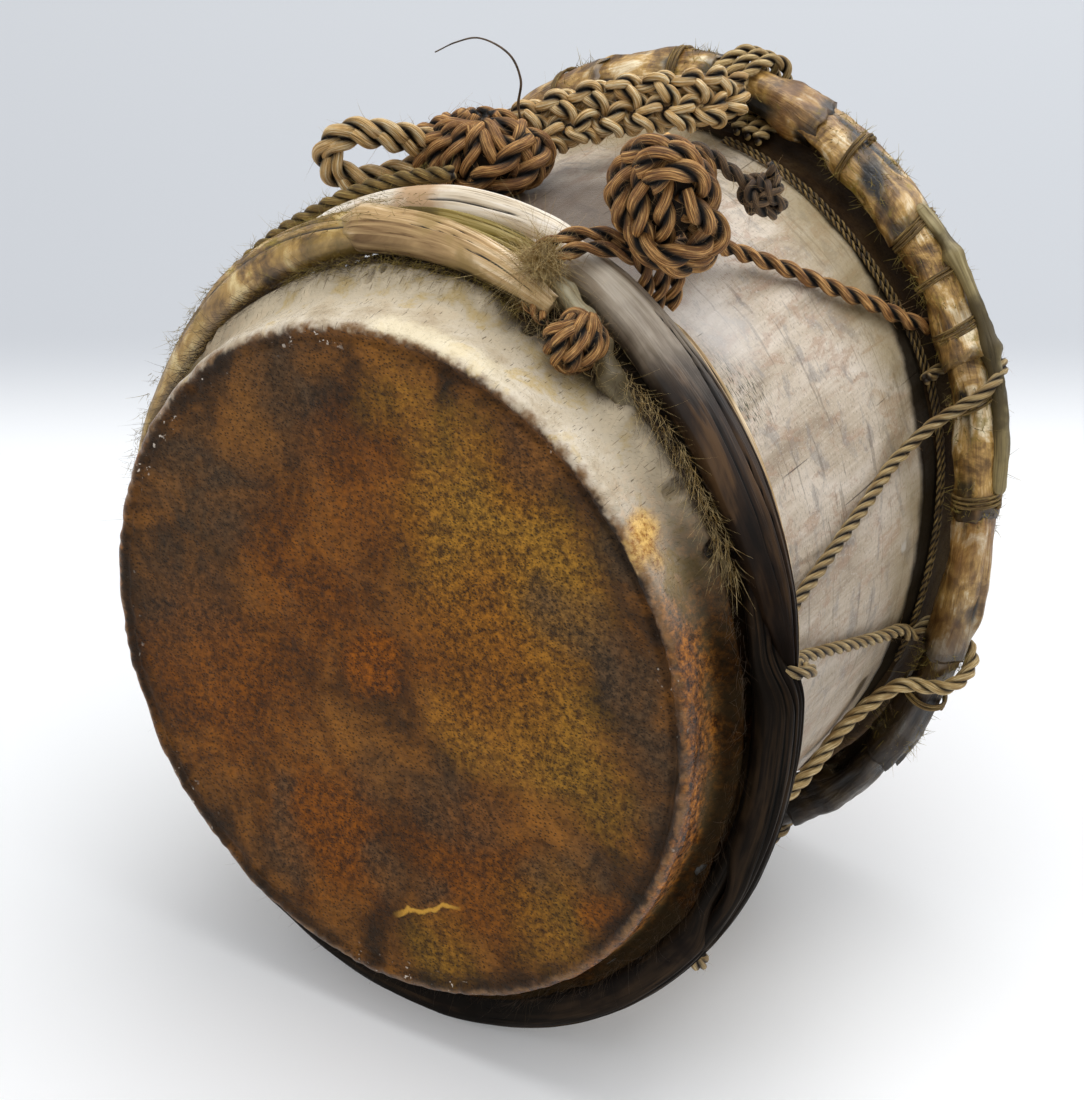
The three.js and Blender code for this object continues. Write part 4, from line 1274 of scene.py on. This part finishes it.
def make_laths(pale_vine, brown_vine, torn_vine):
    """Three split laths over the top: a broad splintered one in front, a torn one, a smooth one behind."""
    broad = Skin()
    vine_length(
        broad,
        [(73, 0.0024, 0.0252, 0.13, 0.136), (80, 0.0042, 0.0262, 0.129, 0.1398),
         (92, 0.0046, 0.0282, 0.1285, 0.1422), (103, 0.0046, 0.0304, 0.1285, 0.143),
         (108, 0.0052, 0.0316, 0.1288, 0.1446), (111, 0.0044, 0.0322, 0.13, 0.1438),
         (112.5, 0.0022, 0.0322, 0.1335, 0.14)],
        [(-0.6, 0.03, 0.0012, 76, 100), (-0.28, 0.035, 0.0022, 74, 102), (0.05, 0.03, 0.0012, 80, 104),
         (0.3, 0.035, 0.002, 74, 98), (0.62, 0.04, 0.0016, 78, 104), (-0.8, 0.03, 0.001, 74, 90)],
        81, ragged=1, ridge=0.00024, crown=0.55, waves=0.0003, top_columns=64,
    )
    broad.piece("lath_broad", brown_vine, replaces=("front_hoop_lath_1",))
    torn = Skin()
    vine_length(
        torn,
        [(72, 0.0008, 0.0335, 0.129, 0.1325), (78, 0.0018, 0.0345, 0.1285, 0.135),
         (96, 0.0021, 0.0366, 0.128, 0.1374), (108, 0.0018, 0.0376, 0.128, 0.1384),
         (115, 0.001, 0.038, 0.1285, 0.1365)],
        [(-0.4, 0.1, 0.0016, 74, 110), (0.3, 0.09, 0.0018, 78, 112)],
        91, ragged=2, ridge=0.00035, crown=0.6, top_columns=30,
    )
    vine_length(
        torn,
        [(76, 0.0006, 0.0388, 0.13, 0.1335), (82, 0.0011, 0.0396, 0.129, 0.1376),
         (98, 0.0012, 0.0403, 0.1285, 0.1394), (108, 0.0008, 0.0402, 0.1285, 0.139)],
        [(0, 0.15, 0.001, 78, 104)],
        96, ragged=2.5, ridge=0.0003, crown=0.6, top_columns=22,
    )
    torn.piece("lath_torn", torn_vine, replaces=("front_hoop_lath_2",))
    smooth = Skin()
    vine_length(
        smooth,
        [(78, 0.0042, 0.0474, 0.1345, 0.1424), (80, 0.0044, 0.0474, 0.134, 0.1434),
         (98, 0.0043, 0.0468, 0.131, 0.1444), (110, 0.0046, 0.0448, 0.129, 0.1436),
         (120, 0.0042, 0.0434, 0.1285, 0.1428), (127, 0.0026, 0.042, 0.1285, 0.14)],
        [(-0.8, 0.05, 0.0008, 84, 104), (-0.3, 0.03, 0.0004, 90, 116)],
        101, ragged=0.15, ridge=0.00006, crown=0.5, waves=0.0002, top_columns=48,
    )
    smooth.piece("lath_smooth", pale_vine, replaces=("front_hoop_lath_3",))


# ------------------------------------------------------------------ rear counter hoop
BARK_OUT, BARK_ALONG = 0.0078, 0.0088                 # how far the bark stands off the hoop's middle
BARK_TEXTURE_RADIUS = 0.0085
BARK_SLEEVES = 17
SLEEVE_OVERLAP = 5                                    # degrees
BAND_ANGLES = (64, 49, 41, 33, 23, 9, -22, 99, 122, 160, 204, 246, 300)


def make_rear_hoop(bark, cane, cord):
    core = Skin()
    marks = [(angle, REAR_RADIUS, rear_along(angle)) for angle in np.arange(-89, 270, 5)]
    stick(core, marks, 0.0048, seed=7, sides=12)
    core.piece("rear_hoop_core", cane, replaces=("rear_hoop_cane",))
    sleeves = Skin()
    sweep = 360 / BARK_SLEEVES
    for k in range(BARK_SLEEVES):
        start = -95 + k * sweep
        bark_sleeve(sleeves, start - SLEEVE_OVERLAP / 2, start + sweep + SLEEVE_OVERLAP / 2, k)
    sleeves.piece("rear_hoop_bark", bark,
                  replaces=[f"rear_hoop_wrap_{k}" for k in range(1, 7)])
    bands = Skin()
    for k, angle in enumerate(BAND_ANGLES):
        cord_band(bands, angle, 2 + k % 2, k)
    bands.piece("rear_hoop_bands", cord,
                replaces=[f"rear_hoop_binding_{k}" for k in range(1, 14)])
    outer = Skin()
    marks = [(52, 0.1432, 0.193), (46, 0.1446, 0.194), (38, 0.1448, 0.195), (28, 0.1447, 0.195),
             (18, 0.1445, 0.192), (11, 0.1436, 0.189)]
    stick(outer, marks, 0.0028, seed=9, knobs=(0.022, 0.058), sides=10)
    outer.piece("rear_outer_cane", cane, replaces=("rear_hoop_outer_cane",))


def rear_along(angle):
    """The rear hoop sags forwards low on its right side."""
    return REAR_ALONG - 0.009 * bell(angle, -6, 26)


def bark_sleeve(skin, start, end, seed):
    """One turn of bark and hide round the rear hoop, wider where its near end laps over the last one."""
    angle = np.arange(start, end, 0.45)[:, None]
    turn = np.linspace(0, 2 * math.pi, 37)[None, :]
    share = (angle - start) / (end - start)
    places = joined(np.radians(angle) * REAR_RADIUS, turn * BARK_TEXTURE_RADIUS)[:, :-1]
    lap = 0.92 + 0.22 * (1 - share) ** 2 + 0.05 * waver(share * 3, 1, seed)
    rough = 1 + 0.17 * lumps(places, (0.014, 0.008), seed) + 0.03 * lumps(places, (0.003, 0.012), seed + 40)
    rough = rough + 0.07 * lumps(places, (0.02, 0.0026), seed + 80)
    rough = rough + 0.03 * lumps(places, (0.006, 0.0009), seed + 120)
    torn = 1.3 * waver(turn[:, :-1], 0.7, seed) * (np.abs(share - 0.5) * 2) ** 6
    out = BARK_OUT * lap * rough * np.cos(turn[:, :-1])
    forward = BARK_ALONG * lap * rough * np.sin(turn[:, :-1])
    grid = drum_point(angle + torn, REAR_RADIUS + out, rear_along(angle) + forward)
    grid[..., 2] = np.maximum(grid[..., 2], 0.0002)
    spots = joined(np.radians(angle) * REAR_RADIUS + seed * 0.3, turn * BARK_TEXTURE_RADIUS)
    skin.surface(grid, spots, limited((rough - 0.86) / 0.2) * np.clip(share * 8, 0.3, 1))


def cord_band(skin, angle, turns, seed):
    """A few turns of thin cord round the rear hoop, slightly slanted."""
    turn = np.linspace(0, 2 * math.pi * turns, 26 * turns)
    slant = 0.5 * math.sin(seed * 2.1)
    across = angle + 0.62 * turn / (2 * math.pi) + slant * np.sin(turn)
    marks = drum_point(across, REAR_RADIUS + 0.0088 * np.cos(turn),
                       rear_along(across) + 0.0099 * np.sin(turn))
    tube(skin, evenly(marks, 0.0012), 0.00065, sides=7, roughness=0.15, seed=seed)


# ------------------------------------------------------------------ lacing
LACE_REAR = (27, -14, -60, -94, -136, -178, -220)
LACE_FRONT = (10, -38, -74, -116, -158, -200, -238)
REST_ANGLES = (-94, -74)                          # turns that lie under the drum stay beneath the hoop
# (share of the turn's width, radius, along) from beneath a hoop, round its far edge and back over its outside
JOINT_FRONT = (
    (1, 0.1243, 0.056), (0.98, 0.1243, 0.047), (0.9, 0.125, 0.04), (0.75, 0.128, 0.0362),
    (0.5, 0.133, 0.0358), (0.2, 0.1374, 0.0385), (-0.1, 0.1392, 0.043), (-0.4, 0.139, 0.0485),
    (-0.7, 0.1378, 0.0532), (-1, 0.1338, 0.0574), (-1.3, 0.1284, 0.0618), (-1.6, 0.1246, 0.069),
)
OVER_FRONT = (
    (1, 0.1243, 0.056), (0.98, 0.1243, 0.047), (0.9, 0.1252, 0.04), (0.75, 0.129, 0.037),
    (0.5, 0.135, 0.0375), (0.2, 0.14, 0.04), (-0.1, 0.1432, 0.044), (-0.4, 0.144, 0.049),
    (-0.7, 0.1418, 0.0535), (-0.95, 0.137, 0.0575), (-1.3, 0.13, 0.064),
)
OVER_REAR = (
    (1, 0.1243, 0.184), (0.95, 0.1243, 0.191), (0.8, 0.125, 0.2), (0.5, 0.131, 0.2072),
    (0.2, 0.137, 0.2082), (0, 0.143, 0.205), (-0.25, 0.1455, 0.1995), (-0.5, 0.1455, 0.1925),
    (-0.75, 0.143, 0.1865), (-0.95, 0.137, 0.1815), (-1.2, 0.13, 0.175),
)
HALF_TURN = 2.6                                       # half a turn's width, in degrees
LEG_FRONT, LEG_REAR = 0.056, 0.184                    # where a leg along the shell begins and ends
LEG_RADIUS = 0.1229
UNDER_SHARES = ((1, 0), (0.75, 1), (0, 1.3), (-0.75, 1), (-1, 0))
TOGGLE_LEG = (                                        # the thick leg from the toggle back to the rear hoop
    (69, 0.148, 0.07), (68.5, 0.14, 0.086), (67, 0.132, 0.103), (63, 0.1262, 0.121), (57, 0.1241, 0.137),
    (50.5, 0.1237, 0.152), (44.5, 0.1238, 0.168), (38.6, 0.1243, 0.184), (36.2, 0.1245, 0.193),
)


def lace_turn(angle, profile):
    """One turn of the lacing round a hoop."""
    if angle in REST_ANGLES:
        edge, deep = (LEG_FRONT, 0.041) if profile is OVER_FRONT else (LEG_REAR, 0.191)
        return [(angle + HALF_TURN * a, LACE_LEVEL, edge + (deep - edge) * b) for a, b in UNDER_SHARES]
    shift = float(rear_along(angle)) - REAR_ALONG if profile is OVER_REAR else 0
    return [(angle + HALF_TURN * share, radius, along + shift) for share, radius, along in profile]


def lace_marks():
    """The lacing's whole route in drum coordinates: under a hoop, back over it, and on to the next hoop."""
    marks = [(29.8, 0.125, 0.18)]
    for rear, front in zip(LACE_REAR, LACE_FRONT):
        marks += lace_turn(rear, OVER_REAR)
        first, last = marks[-1], (front + HALF_TURN, LACE_LEVEL, LEG_FRONT)
        marks += leg_marks(first, last, 0.0015 if rear == LACE_REAR[1] else 0)
        if front != LACE_FRONT[-1]:
            marks += lace_turn(front, JOINT_FRONT if front > 0 else OVER_FRONT)
            following = LACE_REAR[LACE_REAR.index(rear) + 1]
            marks += leg_marks(marks[-1], (following + HALF_TURN, LACE_LEVEL, LEG_REAR))
    return marks + [(LACE_FRONT[-1] + HALF_TURN, LACE_LEVEL, 0.05), (LACE_FRONT[-1] + 2, LACE_LEVEL, 0.04)]


def leg_marks(first, last, slack=0):
    """A leg along the shell. A slack one hangs a little off it and lower down."""
    marks = []
    for share in (0.18, 0.4, 0.65, 0.85):
        sag = slack * math.sin(math.pi * share)
        angle = first[0] + (last[0] - first[0]) * share - 900 * sag
        marks.append((angle, LEG_RADIUS + sag, first[2] + (last[2] - first[2]) * share))
    return marks


def route(marks, spacing=0.001):
    marks = np.array(marks, float)
    return smooth_path(drum_point(marks[:, 0], marks[:, 1], marks[:, 2]), spacing)


def make_lacing(rope, dark_rope, band_cord, fibre):
    rng = np.random.default_rng(21)
    lace = Skin()
    path = route(lace_marks())
    length = distances(path)
    thicker = 1 + 0.18 * limited((length - 0.37) / 0.03) * limited((0.56 - length) / 0.03)
    lay_rope(lace, path, LACE_RADIUS, strands=3, pitch=0.0205, sides=8, shrink=thicker)
    rope_fuzz(lace, path, LACE_RADIUS, 1500, rng, 0.0035, 0.00005)
    front_ties = [f"front_hoop_tie_{k}" for k in range(1, 5)]
    rear_ties = [f"rear_hoop_tie_{k}" for k in range(1, 7)]
    lace.piece("lace", rope, replaces=["lacing_rope"] + front_ties + rear_ties)
    leg = Skin()
    first = route(TOGGLE_LEG, ROPE_STEP)
    lay_rope(leg, first, LEG_ROPE, strands=2, pitch=0.0185, sides=12, seed=3)
    rope_fuzz(leg, first, LEG_ROPE, 160, rng, 0.004)
    leg.piece("toggle_leg", dark_rope)
    hitch = Skin()
    over = [(85 - share * 3, radius, along) for share, radius, along in OVER_REAR]
    for shift in (-1.7, 0.6, 2.9):
        line = route([(angle + shift, radius, along) for angle, radius, along in over], ROPE_STEP)
        lay_rope(hitch, line, HITCH_RADIUS, strands=2, pitch=0.014, sides=9, seed=5)
    hitch.piece("strap_hitch_turns", rope, replaces=("strap_hitch",))
    cords = Skin()
    for k, along in enumerate((0.1795, 0.1825)):
        marks = [(angle, 0.1209 + 0.0012 * bell(angle, 24, 30), along + 0.006 * bell(angle, 24, 20))
                 for angle in np.arange(-18, 88, 4)]
        lay_rope(cords, route(marks, 0.0011), 0.0009, strands=2, pitch=0.006, sides=7, seed=k)
    cords.piece("rear_edge_cords", band_cord,
                replaces=("rear_edge_cord_1", "rear_edge_cord_2"))
    fuzz_piece("lace_fibres", fibre, "drum", "lace_rope", lace, leg)


# ------------------------------------------------------------------ knots on the front hoop
LASHING_LENGTHS = (                                   # the upper rope and the lower one, over the hoop
    ((80, 0.1385, 0.029), (78.2, 0.144, 0.033), (76, 0.1475, 0.0385), (73.5, 0.1482, 0.0455),
     (70.5, 0.1475, 0.053), (67.5, 0.148, 0.061), (65, 0.15, 0.068), (62.5, 0.152, 0.074)),
    ((77.5, 0.137, 0.027), (76, 0.1425, 0.031), (74.2, 0.1455, 0.037), (71.8, 0.1462, 0.043),
     (69, 0.145, 0.05), (66.2, 0.145, 0.057), (64, 0.146, 0.064), (62, 0.148, 0.07)),
)
LASHING_TURN = (
    (75, 0.137, 0.053), (73, 0.144, 0.05), (70.5, 0.147, 0.05), (67.5, 0.144, 0.052),
    (66, 0.137, 0.054), (65.5, 0.13, 0.055),
)


def make_toggle(dark_rope, fibre):
    rng = np.random.default_rng(31)
    skin = Skin()
    centre, radii = TOGGLE_PLACE, (0.014, 0.0125, 0.0165)
    knot_core(skin, centre, (0.0128, 0.0112, 0.016), 9)
    lifts = (0.0005, 0.0012, 0.0014, 0.0004, 0, 0, 0, 0)
    for k, (turn, lift) in enumerate(zip((-88, -58, -28, 2, 130, 165, 200, 235), lifts)):
        marks = [(turn + 6, -70, 0), (turn + 3, -35, lift), (turn, 0, lift + 0.0005), (turn - 2, 34, lift),
                 (turn + 4, 66, 0)]
        knot_strand(skin, centre, radii, marks, 0.0035, 60 + k, rng, pitch=0.02)
    crossing = (
        [(-70, 44, 0.002), (-40, 62, 0.004), (0, 66, 0.005), (40, 54, 0.004), (70, 30, 0.001)],
        [(-36, 36, 0.003), (-8, 50, 0.006), (24, 50, 0.006), (52, 34, 0.004), (72, 10, 0.001)],
        [(-16, 24, 0.003), (8, 34, 0.006), (34, 30, 0.006), (60, 12, 0.003), (74, -12, 0)],
        [(24, 16, 0.002), (38, -4, 0.005), (56, -22, 0.004), (78, -38, 0.001)],
        [(100, 60, 0.001), (104, 20, 0.002), (98, -20, 0.002), (86, -56, 0)],
        [(-120, 70, 0.001), (-112, 30, 0.001), (-108, -10, 0.001), (-100, -54, 0)],
    )
    knot_strands(skin, centre, radii, crossing, 0.0037, 80, rng, pitch=0.024)
    foot = centre + np.array((0.005, -0.003, -0.0118))
    foot_wraps = (
        [(-80, 20, 0), (-40, -6, 0.001), (0, -20, 0.001), (45, -10, 0.001), (85, 20, 0.001), (110, 55, 0)],
        [(-60, -10, 0), (-20, -34, 0.001), (20, -46, 0.002), (60, -40, 0.002), (100, -10, 0.001),
         (125, 30, 0)],
        [(60, 70, 0), (80, 30, 0.003), (84, -6, 0.004), (72, -40, 0.003), (40, -64, 0.001)],
    )
    knot_strands(skin, foot, (0.012, 0.0105, 0.0095), foot_wraps, 0.0038, 95, rng, pitch=0.024)
    skin.piece("toggle_knot_rope", dark_rope, replaces=("toggle_knot",))
    lashing = Skin()
    for k, marks in enumerate(LASHING_LENGTHS):
        line = route(marks, ROPE_STEP)
        lay_rope(lashing, line, 0.0026, strands=2, pitch=0.02, sides=11, seed=6 + k)
        rope_fuzz(lashing, line, 0.0026, 120, rng, 0.005)
    for k, shift in enumerate((0, 0.0052, 0.0104)):
        marks = [(angle - 260 * shift, radius, along + shift) for angle, radius, along in LASHING_TURN]
        lay_rope(lashing, route(marks, ROPE_STEP), 0.0028, strands=2, pitch=0.016, sides=10, seed=9 + k)
    lashing.piece("toggle_lashing_rope", dark_rope, replaces=("toggle_lashing",))
    anchor = Skin()
    place, size = drum_point(67, 0.131, 0.0225), (0.0078, 0.007, 0.008)
    knot_core(anchor, place, (0.007, 0.0064, 0.0074), 12)
    wraps = (
        [(-80, -30, 0), (-60, 10, 0.001), (-34, 45, 0.001), (0, 68, 0.001), (60, 60, 0)],
        [(-50, -60, 0), (-38, -20, 0.0015), (-22, 20, 0.002), (-4, 52, 0.001), (20, 80, 0)],
        [(-14, -66, 0), (-6, -30, 0.002), (6, 10, 0.0025), (20, 44, 0.0015), (50, 70, 0)],
        [(20, -66, 0), (28, -28, 0.002), (38, 8, 0.002), (50, 40, 0.001), (80, 60, 0)],
        [(60, -60, 0), (66, -20, 0.001), (72, 20, 0.001), (84, 52, 0)],
        [(-70, -50, 0.001), (-30, -64, 0.0015), (20, -62, 0.0015), (70, -44, 0)],
    )
    knot_strands(anchor, place, size, wraps, 0.0031, 110, rng, pitch=0.018)
    tail = route([(72, 0.13, 0.0215), (76, 0.129, 0.0245), (78.6, 0.1235, 0.028), (79, 0.1205, 0.0285)],
                 0.0008)
    lay_rope(anchor, tail, 0.0022, strands=2, pitch=0.012, sides=9, seed=1)
    anchor.piece("anchor_knot_rope", dark_rope, replaces=("anchor_knot",))
    fuzz_piece("knot_fibres", fibre, "drum", "dark_rope", skin, lashing, anchor)


# ------------------------------------------------------------------ hair, frayed ends and moss
def tufts(skin, rng, count, angles, radii, alongs, heads, lengths, thickness, bend=0.35, clump=0):
    """Hairs rooted at random drum places. Heads are how far each one points round, out and along."""
    angle = rng.uniform(*angles, count)
    if clump > 0:
        angle = angle + clump * np.sin(angle * 2.7 + 1.3 * np.sin(angle * 0.9))
    radius, along = rng.uniform(*radii, count), rng.uniform(*alongs, count)
    roots = drum_point(angle, radius, along)
    spread = rng.normal(size=(count, 3)) * 0.28
    turn, out, forward = (heads[k] + spread[:, k] for k in range(3))
    tips = drum_point(angle + turn * 1.2, radius + out * 0.003, along + forward * 0.003)
    skin.hairs(hair_paths(roots, tips - roots, rng.uniform(*lengths, count), bend, rng),
               rng.uniform(*thickness, count))


def make_hair(dark_hair, gold_hair, moss):
    rng = np.random.default_rng(41)
    gap = Skin()
    tufts(gap, rng, 900, (-70, 62), (0.1225, 0.129), (0.0215, 0.0275), (-0.5, 0.3, -1), (0.003, 0.009),
          (0.00005, 0.0001))
    tufts(gap, rng, 500, (28, 64), (0.124, 0.13), (0.023, 0.029), (-1.1, 0.5, -0.8), (0.005, 0.012),
          (0.00006, 0.00011), clump=1.5)
    tufts(gap, rng, 1500, (74, 118), (0.1235, 0.13), (0.0225, 0.029), (-0.2, -0.2, -1), (0.003, 0.007),
          (0.00005, 0.0001))
    tufts(gap, rng, 1500, (104, 178), (0.124, 0.13), (0.0225, 0.028), (-0.2, 0.2, -1), (0.004, 0.01),
          (0.00006, 0.00013), clump=1.2)
    tufts(gap, rng, 800, (178, 290), (0.1225, 0.128), (0.022, 0.0275), (0.2, 0.2, -1), (0.003, 0.008),
          (0.00005, 0.0001))
    gap.piece("collar_hair", dark_hair)
    rim = Skin()
    tufts(rim, rng, 700, (24, 72), (0.1165, 0.1185), (0.0008, 0.0026), (-0.6, 0.25, 1), (0.0015, 0.0042),
          (0.00005, 0.00011), bend=0.12)
    tufts(rim, rng, 120, (84, 130), (0.1165, 0.119), (0.001, 0.003), (0.2, 0.2, 1), (0.001, 0.003),
          (0.00004, 0.00009), bend=0.2)
    rim.piece("rim_hair", dark_hair)
    gold = Skin()
    tufts(gold, rng, 420, (26, 62), (0.1255, 0.131), (0.025, 0.03), (-1.2, 0.6, -1.1), (0.006, 0.013),
          (0.00007, 0.00012), clump=1.5)
    tufts(gold, rng, 300, (60, 78), (0.122, 0.133), (0.02, 0.033), (0.2, 0.4, -0.8), (0.003, 0.009),
          (0.00004, 0.00008), bend=0.8)
    brush(gold, rng)
    gold.piece("frayed_ends", gold_hair)
    green = Skin()
    tufts(green, rng, 1600, (76, 122), (0.1235, 0.13), (0.0215, 0.0285), (-0.2, 0.1, -1), (0.003, 0.007),
          (0.00006, 0.00011))
    tufts(green, rng, 1500, (102, 172), (0.1385, 0.1435), (0.027, 0.047), (0.6, 0.15, -0.4),
          (0.0015, 0.0045), (0.00006, 0.00014), bend=0.6, clump=2)
    rear_moss(green, rng)
    green.piece("moss_fibres", moss)


def brush(skin, rng):
    """The frayed end of the toggle's rope, fanned out over the collar."""
    count = 750
    root = drum_point(76.5, 0.143, 0.0285)
    roots = root + rng.normal(size=(count, 3)) * 0.0026
    ahead = unit(drum_point(78, 0.1375, 0.017) - root)
    heads = ahead + rng.normal(size=(count, 3)) * 0.62
    skin.hairs(hair_paths(roots, heads, rng.uniform(0.005, 0.0125, count), 0.7, rng, 8),
               rng.uniform(0.00008, 0.00015, count))
    long_ones = 26
    roots = root + rng.normal(size=(long_ones, 3)) * 0.003
    heads = ahead + rng.normal(size=(long_ones, 3)) * 0.9
    skin.hairs(hair_paths(roots, heads, rng.uniform(0.012, 0.022, long_ones), 0.3, rng, 8),
               np.full(long_ones, 0.0001))


def rear_moss(skin, rng):
    """Short green and yellow fibres in the seams of the rear hoop."""
    for centre in (96, 88, 66, 58, 50, 42, 33, 22, 10, 120, 140, 165, -15, -30):
        count = 210
        angle = rng.normal(centre, 2.2, count)
        turn = rng.uniform(0, 2 * math.pi, count)
        out, forward = np.cos(turn), np.sin(turn)
        roots = drum_point(angle, REAR_RADIUS + 0.008 * out, rear_along(angle) + 0.009 * forward)
        tips = drum_point(angle + rng.normal(0, 1.6, count), REAR_RADIUS + 0.0115 * out,
                          rear_along(angle) + 0.0125 * forward)
        skin.hairs(hair_paths(roots, tips - roots, rng.uniform(0.0008, 0.003, count), 0.9, rng),
                   rng.uniform(0.0001, 0.00022, count))


def make_fibre_rope(moss_rope, fibre):
    rng = np.random.default_rng(51)
    skin = Skin()
    angles = np.arange(100, 164, 4)
    radii = np.interp(angles, (100, 112, 124), (0.1462, 0.145, 0.1436))
    alongs = np.interp(angles, (100, 118, 160), (0.052, 0.0475, 0.0405))
    path = route(joined(angles, radii, alongs), ROPE_STEP)
    lay_rope(skin, path, LEG_ROPE, strands=3, pitch=0.02, sides=10, seed=2)
    rope_fuzz(skin, path, LEG_ROPE, 500, rng, 0.004, 0.00008)
    skin.piece("mossy_rope", moss_rope, replaces=("front_hoop_fibre_rope",))
    fuzz_piece("mossy_rope_fibres", fibre, "drum", "moss_fibre", skin)


def make_stray_fibre(dark_hair):
    """One long fibre that curls up from the strap."""
    skin = Skin()
    marks = (
        (-0.04, 0.0272, 0.278), (-0.0409, 0.0272, 0.283), (-0.0398, 0.0272, 0.2926),
        (-0.0442, 0.0272, 0.301), (-0.0567, 0.0272, 0.3049), (-0.0668, 0.0272, 0.3015),
        (-0.0759, 0.0272, 0.296),
    )
    path = smooth_path(marks, 0.001)
    tube(skin, path, np.linspace(0.0005, 0.00024, len(path)), sides=8, roughness=0.15, seed=1)
    skin.piece("stray_fibre", dark_hair, "strap")


# ------------------------------------------------------------------ making everything
make_stage()
make_floor()
rope = rope_finish("rope", "241808", "8c6c3a", "c4a468", "ecd6a4", "94703c", patch_share=0.45)
brown_rope = rope_finish("brown_rope", "0e0702", "8a6430", "e6ba74", "fff2cc", "a8783c", patch_share=0.35)
dark_rope = rope_finish("dark_rope", "0a0502", "4e3016", "a06c36", "f2c07a", "64402a", patch_share=0.45)
fibre = hair_finish("fibre", "6a4a2a", "c8a878", "8a6a44")
tail_rope = rope_finish("tail_rope", "0c0805", "2e2116", "5a452f", "92724e", "3a2a20", patch_share=0.55)
band_cord = rope_finish("band_cord", "140c05", "443418", "74592e", "b09458", "4e3c20", patch_share=0.5)
make_strap(brown_rope, dark_rope, fibre)
make_tail(tail_rope, fibre)
wood = wood_finish()
hide = hide_finish()
rear_hide = rear_hide_finish()
pale_stick = vine_finish("pale_stick", "1c1810", "6e6248", "94886a", "beb494", "5a4e34",
                         dark_below=(0.205, 0.235))
cane = vine_finish("cane", "1c1810", "5a4c30", "8a7a50", "b4a67c", "4c4024")
dark_vine = vine_finish("dark_vine", "010100", "0a0704", "16100a", "36281a", "110a06", specular=0.06)
grey_vine = stalk_finish()
pale_vine = vine_finish("pale_vine", "1c140a", "b8a282", "ecdec6", "fff8f0", "c8a680")
brown_vine = vine_finish("brown_vine", "120c06", "74542e", "c4a270", "fae6c4", "a08450")
torn_vine = vine_finish("torn_vine", "120c06", "5c4c20", "98843e", "d6c688", "6a5a2a")
bark = bark_finish("bark", ("38240e", "846230", "c49c58", "fceac4"), "784c20")
mossy_bark = bark_finish("mossy_bark", ("35240c", "80602e", "b48e4c", "e6cc90"), "967a30")
moss_rope = rope_finish("moss_rope", "1c1206", "5a421c", "8e7034", "bca262", "5c481e", patch_share=0.6)
dark_hair = hair_finish("dark_hair", "1c140c", "5a4630", "3a2c1c")
gold_hair = hair_finish("gold_hair", "5a4420", "dcc288", "8e7038")
moss = hair_finish("moss", "3e3010", "b09a4a", "74602a")
make_shell(wood)
make_batter(hide)
make_rear_head(rear_hide)
make_flesh_hoops(pale_stick)
make_front_hoop(dark_vine, grey_vine, mossy_bark, (pale_vine, brown_vine, torn_vine))
make_rear_hoop(bark, cane, band_cord)
make_lacing(rope, dark_rope, band_cord, fibre)
make_toggle(dark_rope, fibre)
make_hair(dark_hair, gold_hair, moss)
make_fibre_rope(moss_rope, moss)
make_stray_fibre(dark_hair)
